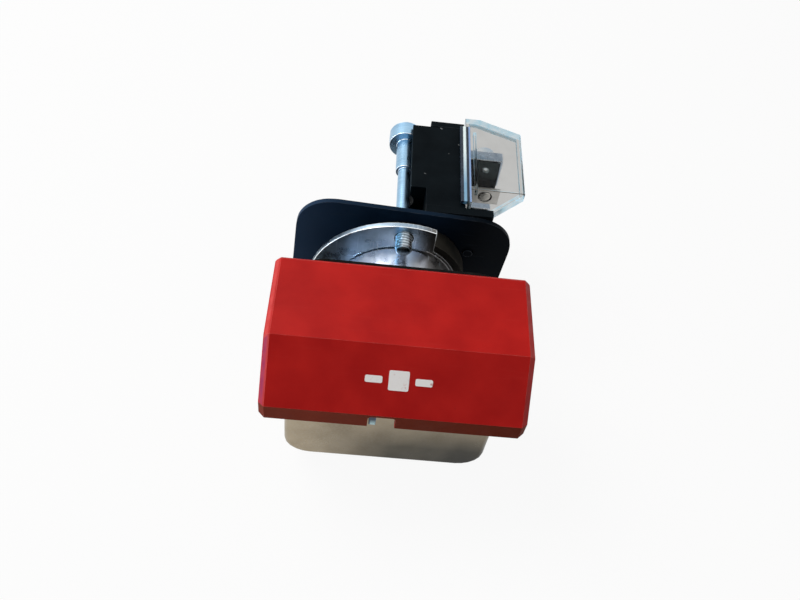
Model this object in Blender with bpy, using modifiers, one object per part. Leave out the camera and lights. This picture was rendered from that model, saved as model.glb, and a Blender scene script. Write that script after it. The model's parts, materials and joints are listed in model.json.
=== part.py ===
"""Panel-mounted emergency stop button with a rectangular hood cap and one contact block.

The button's axis is Y. The cap is pushed towards +Y, X is to the right and Z is up.
The origin lies on the axis, in the plane where the panel's front face meets the gasket.
"""
import math

import bmesh
import bpy
from mathutils import Matrix, Vector

MM = 0.001

# Clearances
GAP = 0.3 * MM  # between pieces that touch or are fastened together
RUN = 0.4 * MM  # left between a moving piece and its stop
PANEL_CLEAR = 0.5 * MM  # left between the pressed cap and the panel

# Motion
TRAVEL = 4.0 * MM

# Cap
CAP_DEPTH = 31.5 * MM
CAP_SIDE_GAP = 2.65 * MM  # between the housing's side and the inside of the cap
CAP_TOP_GAP = 2.0 * MM  # between the housing's top and the inside of the cap
CAP_HEIGHT = 16.0 * MM
CAP_SLOPE = 10.7 * MM  # size of the 45 degree front facet
CAP_WALL = 2.0 * MM
CAP_CHAMFER = 1.3 * MM  # along the edges of the two side faces
CAP_EDGE = 0.8 * MM
CAP_RIB = 1.6 * MM
CAP_RIB_SPACING = 24.0 * MM
NOTCH_WIDTH = 5.8 * MM
NOTCH_HEIGHT = 4.6 * MM
NOTCH_CENTRE = -2.4 * MM

# Cap clip
CLIP_THICKNESS = 0.6 * MM
CLIP_WIDTH = 1.5 * MM
CLIP_TONGUE = 3.4 * MM
CLIP_LENGTH = 6.6 * MM

# Front housing, back plate and gasket
HOUSING_WIDTH = 46.8 * MM
HOUSING_HEIGHT = 38.0 * MM
HOUSING_CORNER = 6.0 * MM
HOUSING_WALL = 1.5 * MM
HOUSING_EDGE = 1.2 * MM
BACK_PLATE_THICKNESS = 1.5 * MM
BACK_PLATE_INSET = 1.0 * MM  # back plate and gasket stand in from the housing's outline
GASKET_THICKNESS = 0.9 * MM
POST_RADIUS = 2.4 * MM
POST_LENGTH = 6.0 * MM
POST_INSET = 0.4 * MM  # how far a post stands in from the inside of the walls
BACK_SCREW_RADIUS = 1.0 * MM
BACK_SCREW_HEAD_RADIUS = 1.6 * MM
BACK_SCREW_LENGTH = 5.0 * MM

# Carriage
NOSE_WIDTH = 18.0 * MM
NOSE_HEIGHT = 5.4 * MM
CARRIAGE_SIDE_GAP = 7.5 * MM  # between the carriage and the inside of the housing
CARRIAGE_DROP = 9.0 * MM  # how far the carriage reaches below the axis
CARRIAGE_THICKNESS = 5.0 * MM

# Collar tube and guide bush
TUBE_RADIUS = 14.75 * MM
TUBE_WALL = 1.95 * MM
TUBE_FLANGE = 1.75 * MM  # how far the flange stands out from the tube
TUBE_FLANGE_THICKNESS = 1.6 * MM
TUBE_LENGTH = 14.8 * MM  # from the panel's face to the tube's rear end
GROOVE_DEPTH = 0.8 * MM
BUSH_REAR = 5.0 * MM
BUSH_FLANGE_THICKNESS = 1.5 * MM

# Stem, disc and nut
STEM_RADIUS = 3.0 * MM
STEM_GROOVE_RADIUS = 2.2 * MM
STEM_GROOVE_WIDTH = 1.4 * MM
STEM_COLLAR_RADIUS = 5.5 * MM
STEM_COLLAR_THICKNESS = 2.0 * MM
STEM_SOCKET = 4.0 * MM  # length of stem inside the carriage
SPIGOT_RADIUS = 2.0 * MM
DISC_THICKNESS = 1.8 * MM
NUT_WIDTH = 7.0 * MM
NUT_THICKNESS = 1.6 * MM

# Springs
RETURN_WIRE = 1.0 * MM
RETURN_RADIUS = 4.8 * MM
RETURN_TURNS = 5
LATCH_WIRE = 1.0 * MM
LATCH_LEG = 6.5 * MM
WASHER_RADIUS = 10.0 * MM
WASHER_THICKNESS = 0.7 * MM
CONTACT_WIRE = 0.7 * MM
CONTACT_RADIUS = 2.4 * MM
CONTACT_TURNS = 4

# Horseshoe clamp, its set screws and the bayonet ring
CLAMP_RADIUS = 22.0 * MM
CLAMP_FRONT = 8.2 * MM
CLAMP_THICKNESS = 1.3 * MM
CLAMP_END = 7.4 * MM  # how far the arms reach past the axis
SET_SCREW_RADIUS = 2.0 * MM
SET_SCREW_TIP = 4.2 * MM
BAYONET_WALL = 1.65 * MM
BAYONET_TAB = 4.0 * MM

# Carrier plate
PLATE_WIDTH = 52.6 * MM
PLATE_HEIGHT = 39.6 * MM
PLATE_CORNER = 8.8 * MM
PLATE_THICKNESS = 1.2 * MM
PLATE_TURN = 3.0  # degrees that the outline sits turned on the tube

# Lock screw
LOCK_X = -0.3 * MM
LOCK_RADIUS = 1.6 * MM
LOCK_SHOULDER_RADIUS = 2.25 * MM
LOCK_SHOULDER_LENGTH = 10.0 * MM
LOCK_HEAD_RADIUS = 4.3 * MM
LOCK_HEAD_LENGTH = 4.9 * MM
LOCK_OVERHANG = 2.5 * MM  # how far the head stands out past the block's rear end
LOCK_SLOT_WIDTH = 1.0 * MM
LOCK_SLOT_DEPTH = 1.6 * MM

# Contact block
BLOCK_LEFT = 1.1 * MM
BLOCK_RIGHT = 14.5 * MM
BLOCK_TOP = 19.0 * MM
BLOCK_BOTTOM = -16.0 * MM
BLOCK_LENGTH = 30.6 * MM
BLOCK_WALL = 1.5 * MM
FLANGE_RIGHT = 21.2 * MM
FLANGE_TOP = 19.3 * MM
FLANGE_BOTTOM = -18.0 * MM
FLANGE_THICKNESS = 2.2 * MM
LID_LEFT = 5.8 * MM
LID_THICKNESS = 2.0 * MM
POCKET_WIDTH = 3.8 * MM
POCKET_LENGTH = 5.9 * MM
POCKET_DEPTH = 8.0 * MM
BLOCK_SCREW_RADIUS = 1.2 * MM
BLOCK_SCREW_HEAD_RADIUS = 1.8 * MM
BLOCK_SCREW_HEAD = 1.7 * MM
BLOCK_SCREW_TIP = 0.4 * MM  # how far the tips stand out of the plate
BLOCK_SCREW_X = 16.8 * MM
BLOCK_SCREW_HEIGHTS = (7.5 * MM, -7.5 * MM)

# Contacts
PLUNGER_X = 9.6 * MM
PLUNGER_Z = -1.5 * MM
PLUNGER_RADIUS = 1.7 * MM
PLUNGER_PIN_RADIUS = 1.2 * MM
PLUNGER_PIN_LENGTH = 3.8 * MM
BAR_THICKNESS = 0.8 * MM
BAR_HEIGHT = 5.0 * MM
BAR_SPACING = 18.0 * MM  # between the middles of the two fixed contacts
BAR_SETBACK = 12.1 * MM  # from the fixed contacts' front faces to the block's rear end
BRIDGE_WIDTH = 5.0 * MM
BRIDGE_LENGTH = 22.0 * MM
BRIDGE_THICKNESS = 1.0 * MM

# Terminals and their cover
TERMINAL_X = 21.6 * MM
TOWER_WIDTH = 7.6 * MM
TOWER_HEIGHT = 8.6 * MM
TOWER_LENGTH = 6.8 * MM
TOWER_TAPER = 1.3 * MM  # how much each side draws in towards the front
WEB_HEIGHT = 4.4 * MM
TERMINAL_CLAMP_SIZE = 9.0 * MM
TERMINAL_CLAMP_THICKNESS = 3.4 * MM
TERMINAL_SCREW_RADIUS = 1.6 * MM
TERMINAL_HEAD_RADIUS = 3.2 * MM
TERMINAL_HEAD_LENGTH = 3.0 * MM
COVER_WIDTH = 14.5 * MM
COVER_STANDOFF = 1.3 * MM  # between the flange and the cover
COVER_OVERHANG = 2.0 * MM  # how far the cover reaches past the lid
COVER_WALL = 1.0 * MM
COVER_TOP = 19.3 * MM
COVER_DEPTH = 2.2 * MM  # how far the rim reaches down
COVER_FRONT_BEVEL = (8.8 * MM, 5.2 * MM)
COVER_REAR_BEVEL = (10.6 * MM, 4.2 * MM)
COVER_SLOPE = (5.4 * MM, 3.3 * MM)  # length and drop of the sloping front of the top
COVER_RIM = 1.6 * MM
COVER_RIB = 0.6 * MM
COVER_RIB_OFFSET = 2.2 * MM  # from the cover's left side to the rib under its top

# Facets of round pieces
FINE = 48
MEDIUM = 28
COARSE = 16
ARC_STEPS = 5

ROOT2 = math.sqrt(2.0)
LEVELS = ("upper", "lower")

# Sizes that follow from those above
CAP_WIDTH = HOUSING_WIDTH + 2 * (CAP_SIDE_GAP + CAP_WALL)
CAP_TOP = HOUSING_HEIGHT / 2 + CAP_TOP_GAP + CAP_WALL  # height of the top face above the axis
CAP_SKIRT = CAP_TOP - CAP_HEIGHT  # height of the skirt's lower edge above the axis
CARRIAGE_WIDTH = HOUSING_WIDTH - 2 * (HOUSING_WALL + CARRIAGE_SIDE_GAP)

# Places along the axis, worked out from the sizes above
CAP_BACK = -(TRAVEL + PANEL_CLEAR)
CAP_FRONT = CAP_BACK - CAP_DEPTH
CAP_SLOPE_LOW = CAP_TOP - CAP_SLOPE
GASKET_FRONT = -GASKET_THICKNESS
BACK_PLATE_BACK = GASKET_FRONT - GAP
BACK_PLATE_FRONT = BACK_PLATE_BACK - BACK_PLATE_THICKNESS
HOUSING_BACK = BACK_PLATE_FRONT - GAP
HOUSING_FRONT = CAP_FRONT + CAP_WALL + TRAVEL + RUN
HOUSING_SLOPE_SHIFT = CAP_WALL * ROOT2 + TRAVEL + RUN * ROOT2
CARRIAGE_FRONT = HOUSING_FRONT + HOUSING_WALL + GAP
CARRIAGE_BACK = CARRIAGE_FRONT + CARRIAGE_THICKNESS
NOSE_FRONT = CAP_FRONT + CAP_WALL + GAP
NOSE_LOW = CAP_SKIRT + CLIP_THICKNESS + 2 * GAP
NOSE_TOP = NOSE_LOW + NOSE_HEIGHT
TUBE_FLANGE_BACK = BACK_PLATE_FRONT - GAP
TUBE_FRONT = TUBE_FLANGE_BACK - TUBE_FLANGE_THICKNESS
BUSH_FLANGE_BACK = TUBE_FRONT - GAP
BUSH_FRONT = BUSH_FLANGE_BACK - BUSH_FLANGE_THICKNESS
WASHER_BACK = BUSH_FRONT - GAP
WASHER_FRONT = WASHER_BACK - WASHER_THICKNESS
COLLAR_FRONT = CARRIAGE_BACK + GAP
COLLAR_BACK = COLLAR_FRONT + STEM_COLLAR_THICKNESS
LATCH_Y = BUSH_FRONT + GAP + LATCH_WIRE
DISC_FRONT = BUSH_REAR + 2 * GAP
DISC_BACK = DISC_FRONT + DISC_THICKNESS
DISC_RADIUS = TUBE_RADIUS - TUBE_WALL - 2 * GAP
NUT_FRONT = DISC_BACK + GAP
NUT_BACK = NUT_FRONT + NUT_THICKNESS
CLAMP_BACK = CLAMP_FRONT + CLAMP_THICKNESS
GROOVE_FRONT = CLAMP_FRONT - GAP
GROOVE_BACK = CLAMP_BACK + GAP
GROOVE_RADIUS = TUBE_RADIUS - GROOVE_DEPTH
CLAMP_INNER = GROOVE_RADIUS + GAP
SET_SCREW_OFFSET = (CLAMP_INNER + CLAMP_RADIUS) / 2
BAYONET_INNER = TUBE_RADIUS + GAP
BAYONET_OUTER = BAYONET_INNER + BAYONET_WALL
PLATE_FRONT = TUBE_LENGTH + GAP
PLATE_BACK = PLATE_FRONT + PLATE_THICKNESS
LOCK_Z = math.sqrt((TUBE_RADIUS - TUBE_WALL / 2) ** 2 - LOCK_X ** 2)
LOCK_TIP = TUBE_LENGTH + GAP
BLOCK_FRONT = PLATE_BACK + GAP
FLANGE_BACK = BLOCK_FRONT + FLANGE_THICKNESS
BLOCK_BACK = BLOCK_FRONT + BLOCK_LENGTH
LID_FRONT = BLOCK_BACK + GAP
LID_BACK = LID_FRONT + LID_THICKNESS
LOCK_HEAD_BACK = BLOCK_BACK + LOCK_OVERHANG
LOCK_HEAD_FRONT = LOCK_HEAD_BACK - LOCK_HEAD_LENGTH
PLUNGER_FRONT = DISC_BACK + GAP
BAR_FRONT = BLOCK_BACK - BAR_SETBACK
BAR_BACK = BAR_FRONT + BAR_THICKNESS
BRIDGE_FRONT = BAR_BACK + GAP
BRIDGE_BACK = BRIDGE_FRONT + BRIDGE_THICKNESS
PLUNGER_SHOULDER = BRIDGE_FRONT - GAP
BAR_HEIGHTS = (PLUNGER_Z + BAR_SPACING / 2, PLUNGER_Z - BAR_SPACING / 2)
BAR_LEFT = PLUNGER_X - BRIDGE_WIDTH / 2
BAR_RIGHT = TERMINAL_X + TOWER_WIDTH / 2
TOWER_FRONT = BAR_BACK + GAP + BLOCK_WALL / 2
TOWER_BACK = TOWER_FRONT + TOWER_LENGTH
COVER_LEFT = BLOCK_RIGHT + GAP
COVER_FRONT = FLANGE_BACK + COVER_STANDOFF
COVER_LENGTH = LID_BACK + COVER_OVERHANG - COVER_FRONT


def collection(name):
    """Return a new collection linked to the scene."""
    group = bpy.data.collections.new(name)
    bpy.context.scene.collection.children.link(group)
    return group


def finish(name, colour, roughness, metallic, alpha=1.0):
    """Return a Principled material with the given finish."""
    material = bpy.data.materials.new(name)
    material.use_nodes = True
    shader = material.node_tree.nodes["Principled BSDF"]
    shader.inputs["Base Color"].default_value = (*colour, 1.0)
    shader.inputs["Roughness"].default_value = roughness
    shader.inputs["Metallic"].default_value = metallic
    shader.inputs["Alpha"].default_value = alpha
    material.diffuse_color = (*colour, alpha)
    return material


def mesh_object(name, bm):
    """Turn a bmesh into an object in the parts collection, with its faces pointing out."""
    bmesh.ops.recalc_face_normals(bm, faces=bm.faces)
    mesh = bpy.data.meshes.new(name)
    bm.to_mesh(mesh)
    bm.free()
    mesh.shade_smooth()
    mesh.set_sharp_from_angle(angle=math.radians(35))
    obj = bpy.data.objects.new(name, mesh)
    PARTS.objects.link(obj)
    return obj


def box(name, x, y, z):
    """Return a box between the given pairs of limits."""
    bm = bmesh.new()
    size = Vector((x[1] - x[0], y[1] - y[0], z[1] - z[0]))
    middle = Vector((sum(x) / 2, sum(y) / 2, sum(z) / 2))
    bmesh.ops.create_cube(bm, size=1.0)
    bmesh.ops.scale(bm, vec=size, verts=bm.verts)
    bmesh.ops.translate(bm, vec=middle, verts=bm.verts)
    return mesh_object(name, bm)


def cylinder(name, radius, y, centre=(0.0, 0.0), segments=MEDIUM):
    """Return a cylinder along Y between two limits, centred on (x, z)."""
    bm = bmesh.new()
    bmesh.ops.create_cone(
        bm, cap_ends=True, segments=segments, radius1=radius, radius2=radius, depth=y[1] - y[0],
        matrix=Matrix.Rotation(math.radians(90), 4, "X"))
    bmesh.ops.translate(bm, vec=(centre[0], sum(y) / 2, centre[1]), verts=bm.verts)
    return mesh_object(name, bm)


def frozen(curve_object):
    """Replace a curve or modified object with a plain welded mesh of the same shape."""
    depsgraph = bpy.context.evaluated_depsgraph_get()
    mesh = bpy.data.meshes.new_from_object(curve_object.evaluated_get(depsgraph))
    bm = bmesh.new()
    bm.from_mesh(mesh)
    bmesh.ops.remove_doubles(bm, verts=bm.verts, dist=1e-6)
    bm.transform(curve_object.matrix_world)
    name = curve_object.name
    bpy.data.objects.remove(curve_object)
    return mesh_object(name, bm)


def turned(name, profile, segments=MEDIUM):
    """Return a piece turned about Y from a loop or an axis-to-axis line of (radius, y) points."""
    closed = min(point[0] for point in profile) > 0
    mesh = bpy.data.meshes.new(name)
    edges = [(i, i + 1) for i in range(len(profile) - 1)]
    if closed:
        edges.append((len(profile) - 1, 0))
    mesh.from_pydata([(radius, y, 0.0) for radius, y in profile], edges, [])
    obj = bpy.data.objects.new(name, mesh)
    PARTS.objects.link(obj)
    screw = obj.modifiers.new("turn", "SCREW")
    screw.axis = "Y"
    screw.steps = segments
    screw.render_steps = segments
    screw.use_merge_vertices = True
    screw.merge_threshold = 1e-6
    bpy.context.view_layer.update()
    return frozen(obj)


def turned_at(name, profile, place, segments=COARSE):
    """Return a turned piece whose axis passes through the (x, z) place."""
    obj = turned(name, profile, segments)
    obj.location = (place[0], 0.0, place[1])
    return obj


def extruded(name, outline, axis, low, high):
    """Return a prism of a flat outline: (y, z) points along X, (x, z) along Y or (x, y) along Z."""
    curve = bpy.data.curves.new(name, "CURVE")
    curve.dimensions = "2D"
    curve.fill_mode = "BOTH"
    curve.extrude = (high - low) / 2
    spline = curve.splines.new("POLY")
    spline.points.add(len(outline) - 1)
    for point, (u, v) in zip(spline.points, outline):
        point.co = (u, v, 0.0, 1.0)
    spline.use_cyclic_u = True
    obj = bpy.data.objects.new(name, curve)
    PARTS.objects.link(obj)
    columns = {"X": ((0, 1, 0), (0, 0, 1), (1, 0, 0)),
               "Y": ((1, 0, 0), (0, 0, 1), (0, -1, 0)),
               "Z": ((1, 0, 0), (0, 1, 0), (0, 0, 1))}[axis]
    turn = Matrix(columns).transposed().to_4x4()
    middle = (low + high) / 2
    place = {"X": (middle, 0, 0), "Y": (0, middle, 0), "Z": (0, 0, middle)}[axis]
    obj.matrix_world = Matrix.Translation(place) @ turn
    bpy.context.view_layer.update()
    return frozen(obj)


def wire(name, path, diameter):
    """Return one unbroken round wire along a list of points."""
    curve = bpy.data.curves.new(name, "CURVE")
    curve.dimensions = "3D"
    curve.bevel_depth = diameter / 2
    curve.bevel_resolution = 1
    curve.use_fill_caps = True
    spline = curve.splines.new("POLY")
    spline.points.add(len(path) - 1)
    for point, place in zip(spline.points, path):
        point.co = (*place, 1.0)
    obj = bpy.data.objects.new(name, curve)
    PARTS.objects.link(obj)
    bpy.context.view_layer.update()
    return frozen(obj)


def combine(target, other, operation):
    """Add a Boolean to the target and put the other object away with the cutters."""
    modifier = target.modifiers.new(other.name, "BOOLEAN")
    modifier.operation = operation
    modifier.solver = "EXACT"
    modifier.object = other
    PARTS.objects.unlink(other)
    CUTTERS.objects.link(other)
    other.hide_render = True
    other.display_type = "WIRE"


def cut(target, *cutters):
    """Cut the cutters out of the target."""
    for cutter in cutters:
        combine(target, cutter, "DIFFERENCE")


def join(target, *pieces):
    """Fuse pieces into the target."""
    for piece in pieces:
        combine(target, piece, "UNION")


def round_edges(obj, width, segments=2, angle=40):
    """Round the sharp edges of an object."""
    bevel = obj.modifiers.new("round", "BEVEL")
    bevel.width = width
    bevel.segments = segments
    bevel.limit_method = "ANGLE"
    bevel.angle_limit = math.radians(angle)
    bevel.use_clamp_overlap = True


def arc(centre, radius, start, stop, steps=ARC_STEPS):
    """Return points on an arc, with angles in degrees."""
    angles = [math.radians(start + (stop - start) * i / steps) for i in range(steps + 1)]
    return [(centre[0] + radius * math.cos(a), centre[1] + radius * math.sin(a)) for a in angles]


def rounded_rectangle(width, height, radius, centre=(0.0, 0.0)):
    """Return the outline of a rectangle with round corners."""
    u = width / 2 - radius
    v = height / 2 - radius
    corners = (((u, v), 0), ((-u, v), 90), ((-u, -v), 180), ((u, -v), 270))
    outline = []
    for (cu, cv), start in corners:
        outline += arc((centre[0] + cu, centre[1] + cv), radius, start, start + 90)
    return outline


def coil(radius, start, stop, turns, points_per_turn=9):
    """Return points of a coil about Y whose first and last turns close up."""
    count = turns * points_per_turn
    path = []
    for i in range(count + 1):
        share = i / count
        eased = share - 0.11 * math.sin(4 * math.pi * share) / (2 * math.pi)
        angle = 2 * math.pi * i / points_per_turn
        path.append((radius * math.cos(angle), start + (stop - start) * eased, radius * math.sin(angle)))
    return path


def least_gap(path, diameter, points_per_turn=9):
    """Return the least gap between one turn of a wire and another."""
    skip = points_per_turn // 2
    pairs = [(Vector(path[i]) - Vector(path[j])).length
             for i in range(len(path)) for j in range(i + skip, len(path))]
    return min(pairs) - diameter


def paint(obj, material):
    """Give an object its material."""
    obj.data.materials.clear()
    obj.data.materials.append(material)
    return obj


def slope_at(z, shift):
    """Return where the cap's 45 degree facet, moved back by a shift, meets the height z."""
    return CAP_FRONT + (z - CAP_SLOPE_LOW) + shift


def cap_profile(inset):
    """Return the cap's outline seen along X, drawn in at its top, facet and front."""
    shift = inset * ROOT2
    top = CAP_TOP - inset
    front = CAP_FRONT + inset
    return [(CAP_BACK, CAP_SKIRT), (CAP_BACK, top), (slope_at(top, shift), top),
            (front, CAP_SLOPE_LOW + inset - shift), (front, CAP_SKIRT)]


def make_push_cap():
    """Hood cap: flat top, sloping front facet, short skirt, chamfered sides, open behind and below."""
    half = CAP_WIDTH / 2
    flat = half - CAP_CHAMFER
    side = cap_profile(CAP_CHAMFER)
    full = cap_profile(0.0)
    cap = lofted("push_cap", [(side, -half), (full, -flat), (full, flat), (side, half)], "X")
    round_edges(cap, CAP_EDGE, angle=50)
    inner_top = CAP_TOP - CAP_WALL
    inner_front = CAP_FRONT + CAP_WALL
    shift = CAP_WALL * ROOT2
    inner_low = CAP_SLOPE_LOW + CAP_WALL - CAP_WALL * (ROOT2 - 1) - CAP_WALL
    hollow = [(CAP_BACK + CAP_WALL, CAP_SKIRT - CAP_WALL), (CAP_BACK + CAP_WALL, inner_top),
              (slope_at(inner_top, shift), inner_top), (inner_front, inner_low),
              (inner_front, CAP_SKIRT - CAP_WALL)]
    cut(cap, extruded("cap_hollow", hollow, "X", -half + CAP_WALL, half - CAP_WALL))
    rib_low = HOUSING_HEIGHT / 2 + RUN
    for side in (-1, 1):
        middle = side * CAP_RIB_SPACING / 2
        rib = box("cap_rib", (middle - CAP_RIB / 2, middle + CAP_RIB / 2),
                  (slope_at(inner_top, shift) + CAP_WALL, CAP_BACK - CAP_WALL),
                  (rib_low, CAP_TOP - CAP_WALL / 2))
        join(cap, rib)
    notch_top = CAP_SKIRT + NOTCH_HEIGHT
    notch_low = CAP_SKIRT - CAP_WALL
    outline = rounded_rectangle(NOTCH_WIDTH, notch_top - notch_low, CAP_EDGE,
                                (NOTCH_CENTRE, (notch_top + notch_low) / 2))
    cut(cap, extruded("cap_notch", outline, "Y", CAP_FRONT - CAP_WALL, inner_front + GAP))
    return paint(cap, RED)


def make_cap_clip():
    """Sprung tongue that holds the cap on the carriage and shows in the notch."""
    low = CAP_SKIRT + GAP
    front = CAP_FRONT + CAP_WALL / 2 - CLIP_THICKNESS / 2
    outline = [(front, low), (front + CLIP_LENGTH, low), (front + CLIP_LENGTH, low + CLIP_THICKNESS),
               (front + CLIP_THICKNESS, low + CLIP_THICKNESS), (front + CLIP_THICKNESS, low + CLIP_TONGUE),
               (front, low + CLIP_TONGUE)]
    left = NOTCH_CENTRE - NOTCH_WIDTH / 2 + GAP
    return paint(extruded("cap_clip", outline, "X", left, left + CLIP_WIDTH), SPRING_STEEL)


def make_slide_carriage():
    """Moulded block inside the housing, with a nose that carries the cap."""
    inside = HOUSING_SLOPE_SHIFT + HOUSING_WALL * ROOT2 + GAP * ROOT2
    low = CAP_SLOPE_LOW + CARRIAGE_FRONT - CAP_FRONT - inside
    body_top = NOSE_TOP + GAP
    body = [(CARRIAGE_BACK, -CARRIAGE_DROP), (CARRIAGE_BACK, body_top),
            (slope_at(body_top, inside), body_top), (CARRIAGE_FRONT, low),
            (CARRIAGE_FRONT, -CARRIAGE_DROP)]
    carriage = extruded("slide_carriage", body, "X", -CARRIAGE_WIDTH / 2, CARRIAGE_WIDTH / 2)
    cap_inside = (CAP_WALL + GAP) * ROOT2
    nose_low_front = CAP_SLOPE_LOW + NOSE_FRONT - CAP_FRONT - cap_inside
    nose_root = CARRIAGE_FRONT + CARRIAGE_THICKNESS / 2
    nose = [(nose_root, NOSE_LOW), (nose_root, NOSE_TOP), (slope_at(NOSE_TOP, cap_inside), NOSE_TOP),
            (NOSE_FRONT, nose_low_front), (NOSE_FRONT, NOSE_LOW)]
    join(carriage, extruded("carriage_nose", nose, "X", -NOSE_WIDTH / 2, NOSE_WIDTH / 2))
    socket = (CARRIAGE_BACK - STEM_SOCKET - GAP, CARRIAGE_BACK + GAP)
    cut(carriage, cylinder("stem_socket", STEM_RADIUS + GAP, socket))
    return paint(carriage, BLACK_PLASTIC)


def make_actuator_stem():
    """Turned rod with a spring collar, two latch grooves and a spigot for the disc."""
    front = CARRIAGE_BACK - STEM_SOCKET
    shoulder = DISC_FRONT - GAP
    profile = [(0.0, front), (STEM_RADIUS, front), (STEM_RADIUS, COLLAR_FRONT),
               (STEM_COLLAR_RADIUS, COLLAR_FRONT), (STEM_COLLAR_RADIUS, COLLAR_BACK),
               (STEM_RADIUS, COLLAR_BACK)]
    for middle in (LATCH_Y - TRAVEL, LATCH_Y):
        start = middle - STEM_GROOVE_WIDTH / 2
        stop = middle + STEM_GROOVE_WIDTH / 2
        profile += [(STEM_RADIUS, start), (STEM_GROOVE_RADIUS, start),
                    (STEM_GROOVE_RADIUS, stop), (STEM_RADIUS, stop)]
    profile += [(STEM_RADIUS, shoulder), (SPIGOT_RADIUS, shoulder), (SPIGOT_RADIUS, NUT_BACK + GAP),
                (0.0, NUT_BACK + GAP)]
    return paint(turned("actuator_stem", profile), BRIGHT_STEEL)


def make_pusher_disc():
    """Disc at the end of the stem that pushes the contact plunger."""
    hole = SPIGOT_RADIUS + GAP
    profile = [(hole, DISC_FRONT), (DISC_RADIUS, DISC_FRONT), (DISC_RADIUS, DISC_BACK), (hole, DISC_BACK)]
    return paint(turned("pusher_disc", profile, FINE), BLACK_PLASTIC)


def make_stem_nut():
    """Hexagon nut that holds the disc on the spigot."""
    nut = cylinder("stem_nut", NUT_WIDTH / math.sqrt(3.0), (NUT_FRONT, NUT_BACK), segments=6)
    cut(nut, cylinder("nut_bore", SPIGOT_RADIUS + GAP, (NUT_FRONT - GAP, NUT_BACK + GAP), segments=COARSE))
    return paint(nut, BRIGHT_STEEL)


def lofted(name, sections, axis="Y"):
    """Return a body along Y or X skinned over (outline, place) sections with equal point counts."""
    bm = bmesh.new()
    rings = []
    for outline, place in sections:
        points = [(u, place, v) if axis == "Y" else (place, u, v) for u, v in outline]
        rings.append([bm.verts.new(point) for point in points])
    count = len(rings[0])
    for first, second in zip(rings, rings[1:]):
        for i in range(count):
            j = (i + 1) % count
            bm.faces.new((first[i], first[j], second[j], second[i]))
    bm.faces.new(rings[0])
    bm.faces.new(rings[-1])
    return mesh_object(name, bm)


def sloped_body(name, width, height, radius, front, back, shift, edge):
    """Return a rounded box along Y with a round front edge and a slope cut along the cap's facet."""
    sections = []
    for step in range(ARC_STEPS):
        angle = math.radians(90 * step / (ARC_STEPS - 1))
        inset = edge * (1 - math.sin(angle))
        outline = rounded_rectangle(width - 2 * inset, height - 2 * inset, radius - inset)
        sections.append((outline, front + edge * (1 - math.cos(angle))))
    sections.append((rounded_rectangle(width, height, radius), back))
    body = lofted(name, sections)
    reach = CAP_TOP + CAP_DEPTH
    foot = slope_at(0.0, shift)
    wedge = [(foot, 0.0), (slope_at(reach, shift), reach), (foot - reach, reach)]
    cut(body, extruded(name + "_slope", wedge, "X", -width, width))
    return body


def back_screw_places():
    """Return the (x, z) places of the four screws that hold the back plate."""
    inset = HOUSING_WALL + POST_INSET + POST_RADIUS
    x = HOUSING_WIDTH / 2 - inset
    z = HOUSING_HEIGHT / 2 - inset
    return [(sx * x, sz * z) for sx in (-1, 1) for sz in (-1, 1)]


def make_front_housing():
    """Drawn steel box, open behind, with a window for the carriage's nose."""
    wall = HOUSING_WALL
    housing = sloped_body("front_housing", HOUSING_WIDTH, HOUSING_HEIGHT, HOUSING_CORNER,
                          HOUSING_FRONT, HOUSING_BACK, HOUSING_SLOPE_SHIFT, HOUSING_EDGE)
    hollow = sloped_body("housing_hollow", HOUSING_WIDTH - 2 * wall, HOUSING_HEIGHT - 2 * wall,
                         HOUSING_CORNER - wall, HOUSING_FRONT + wall, HOUSING_BACK + wall,
                         HOUSING_SLOPE_SHIFT + wall * ROOT2, HOUSING_EDGE)
    cut(housing, hollow)
    post = (HOUSING_BACK - POST_LENGTH, HOUSING_BACK - GAP)
    hole = (BACK_PLATE_BACK - BACK_SCREW_LENGTH - GAP, HOUSING_BACK + GAP)
    for place in back_screw_places():
        join(housing, cylinder("post", POST_RADIUS + wall / 2, post, place, COARSE))
    for place in back_screw_places():
        cut(housing, cylinder("post_hole", BACK_SCREW_RADIUS + GAP, hole, place, COARSE))
    window = box("nose_window", (-NOSE_WIDTH / 2 - RUN, NOSE_WIDTH / 2 + RUN),
                 (HOUSING_FRONT - wall, slope_at(NOSE_TOP + RUN, HOUSING_SLOPE_SHIFT + 2 * wall * ROOT2)),
                 (CAP_SKIRT - RUN, NOSE_TOP + RUN))
    cut(housing, window)
    return paint(housing, STEEL)


def make_back_plate():
    """Plate that closes the housing and is pulled against the panel."""
    outline = rounded_rectangle(HOUSING_WIDTH - 2 * BACK_PLATE_INSET, HOUSING_HEIGHT - 2 * BACK_PLATE_INSET,
                                HOUSING_CORNER - BACK_PLATE_INSET)
    plate = extruded("housing_back_plate", outline, "Y", BACK_PLATE_FRONT, BACK_PLATE_BACK)
    through = (BACK_PLATE_FRONT - GAP, BACK_PLATE_BACK + GAP)
    cut(plate, cylinder("back_plate_hole", TUBE_RADIUS + GAP, through, segments=FINE))
    for place in back_screw_places():
        cut(plate, cylinder("screw_hole", BACK_SCREW_RADIUS + GAP, through, place, COARSE))
        recess = (BACK_PLATE_BACK - BACK_PLATE_THICKNESS / 2, BACK_PLATE_BACK + GAP)
        cut(plate, cylinder("screw_recess", BACK_SCREW_HEAD_RADIUS + GAP, recess, place, COARSE))
    return paint(plate, ZINC)


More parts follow.
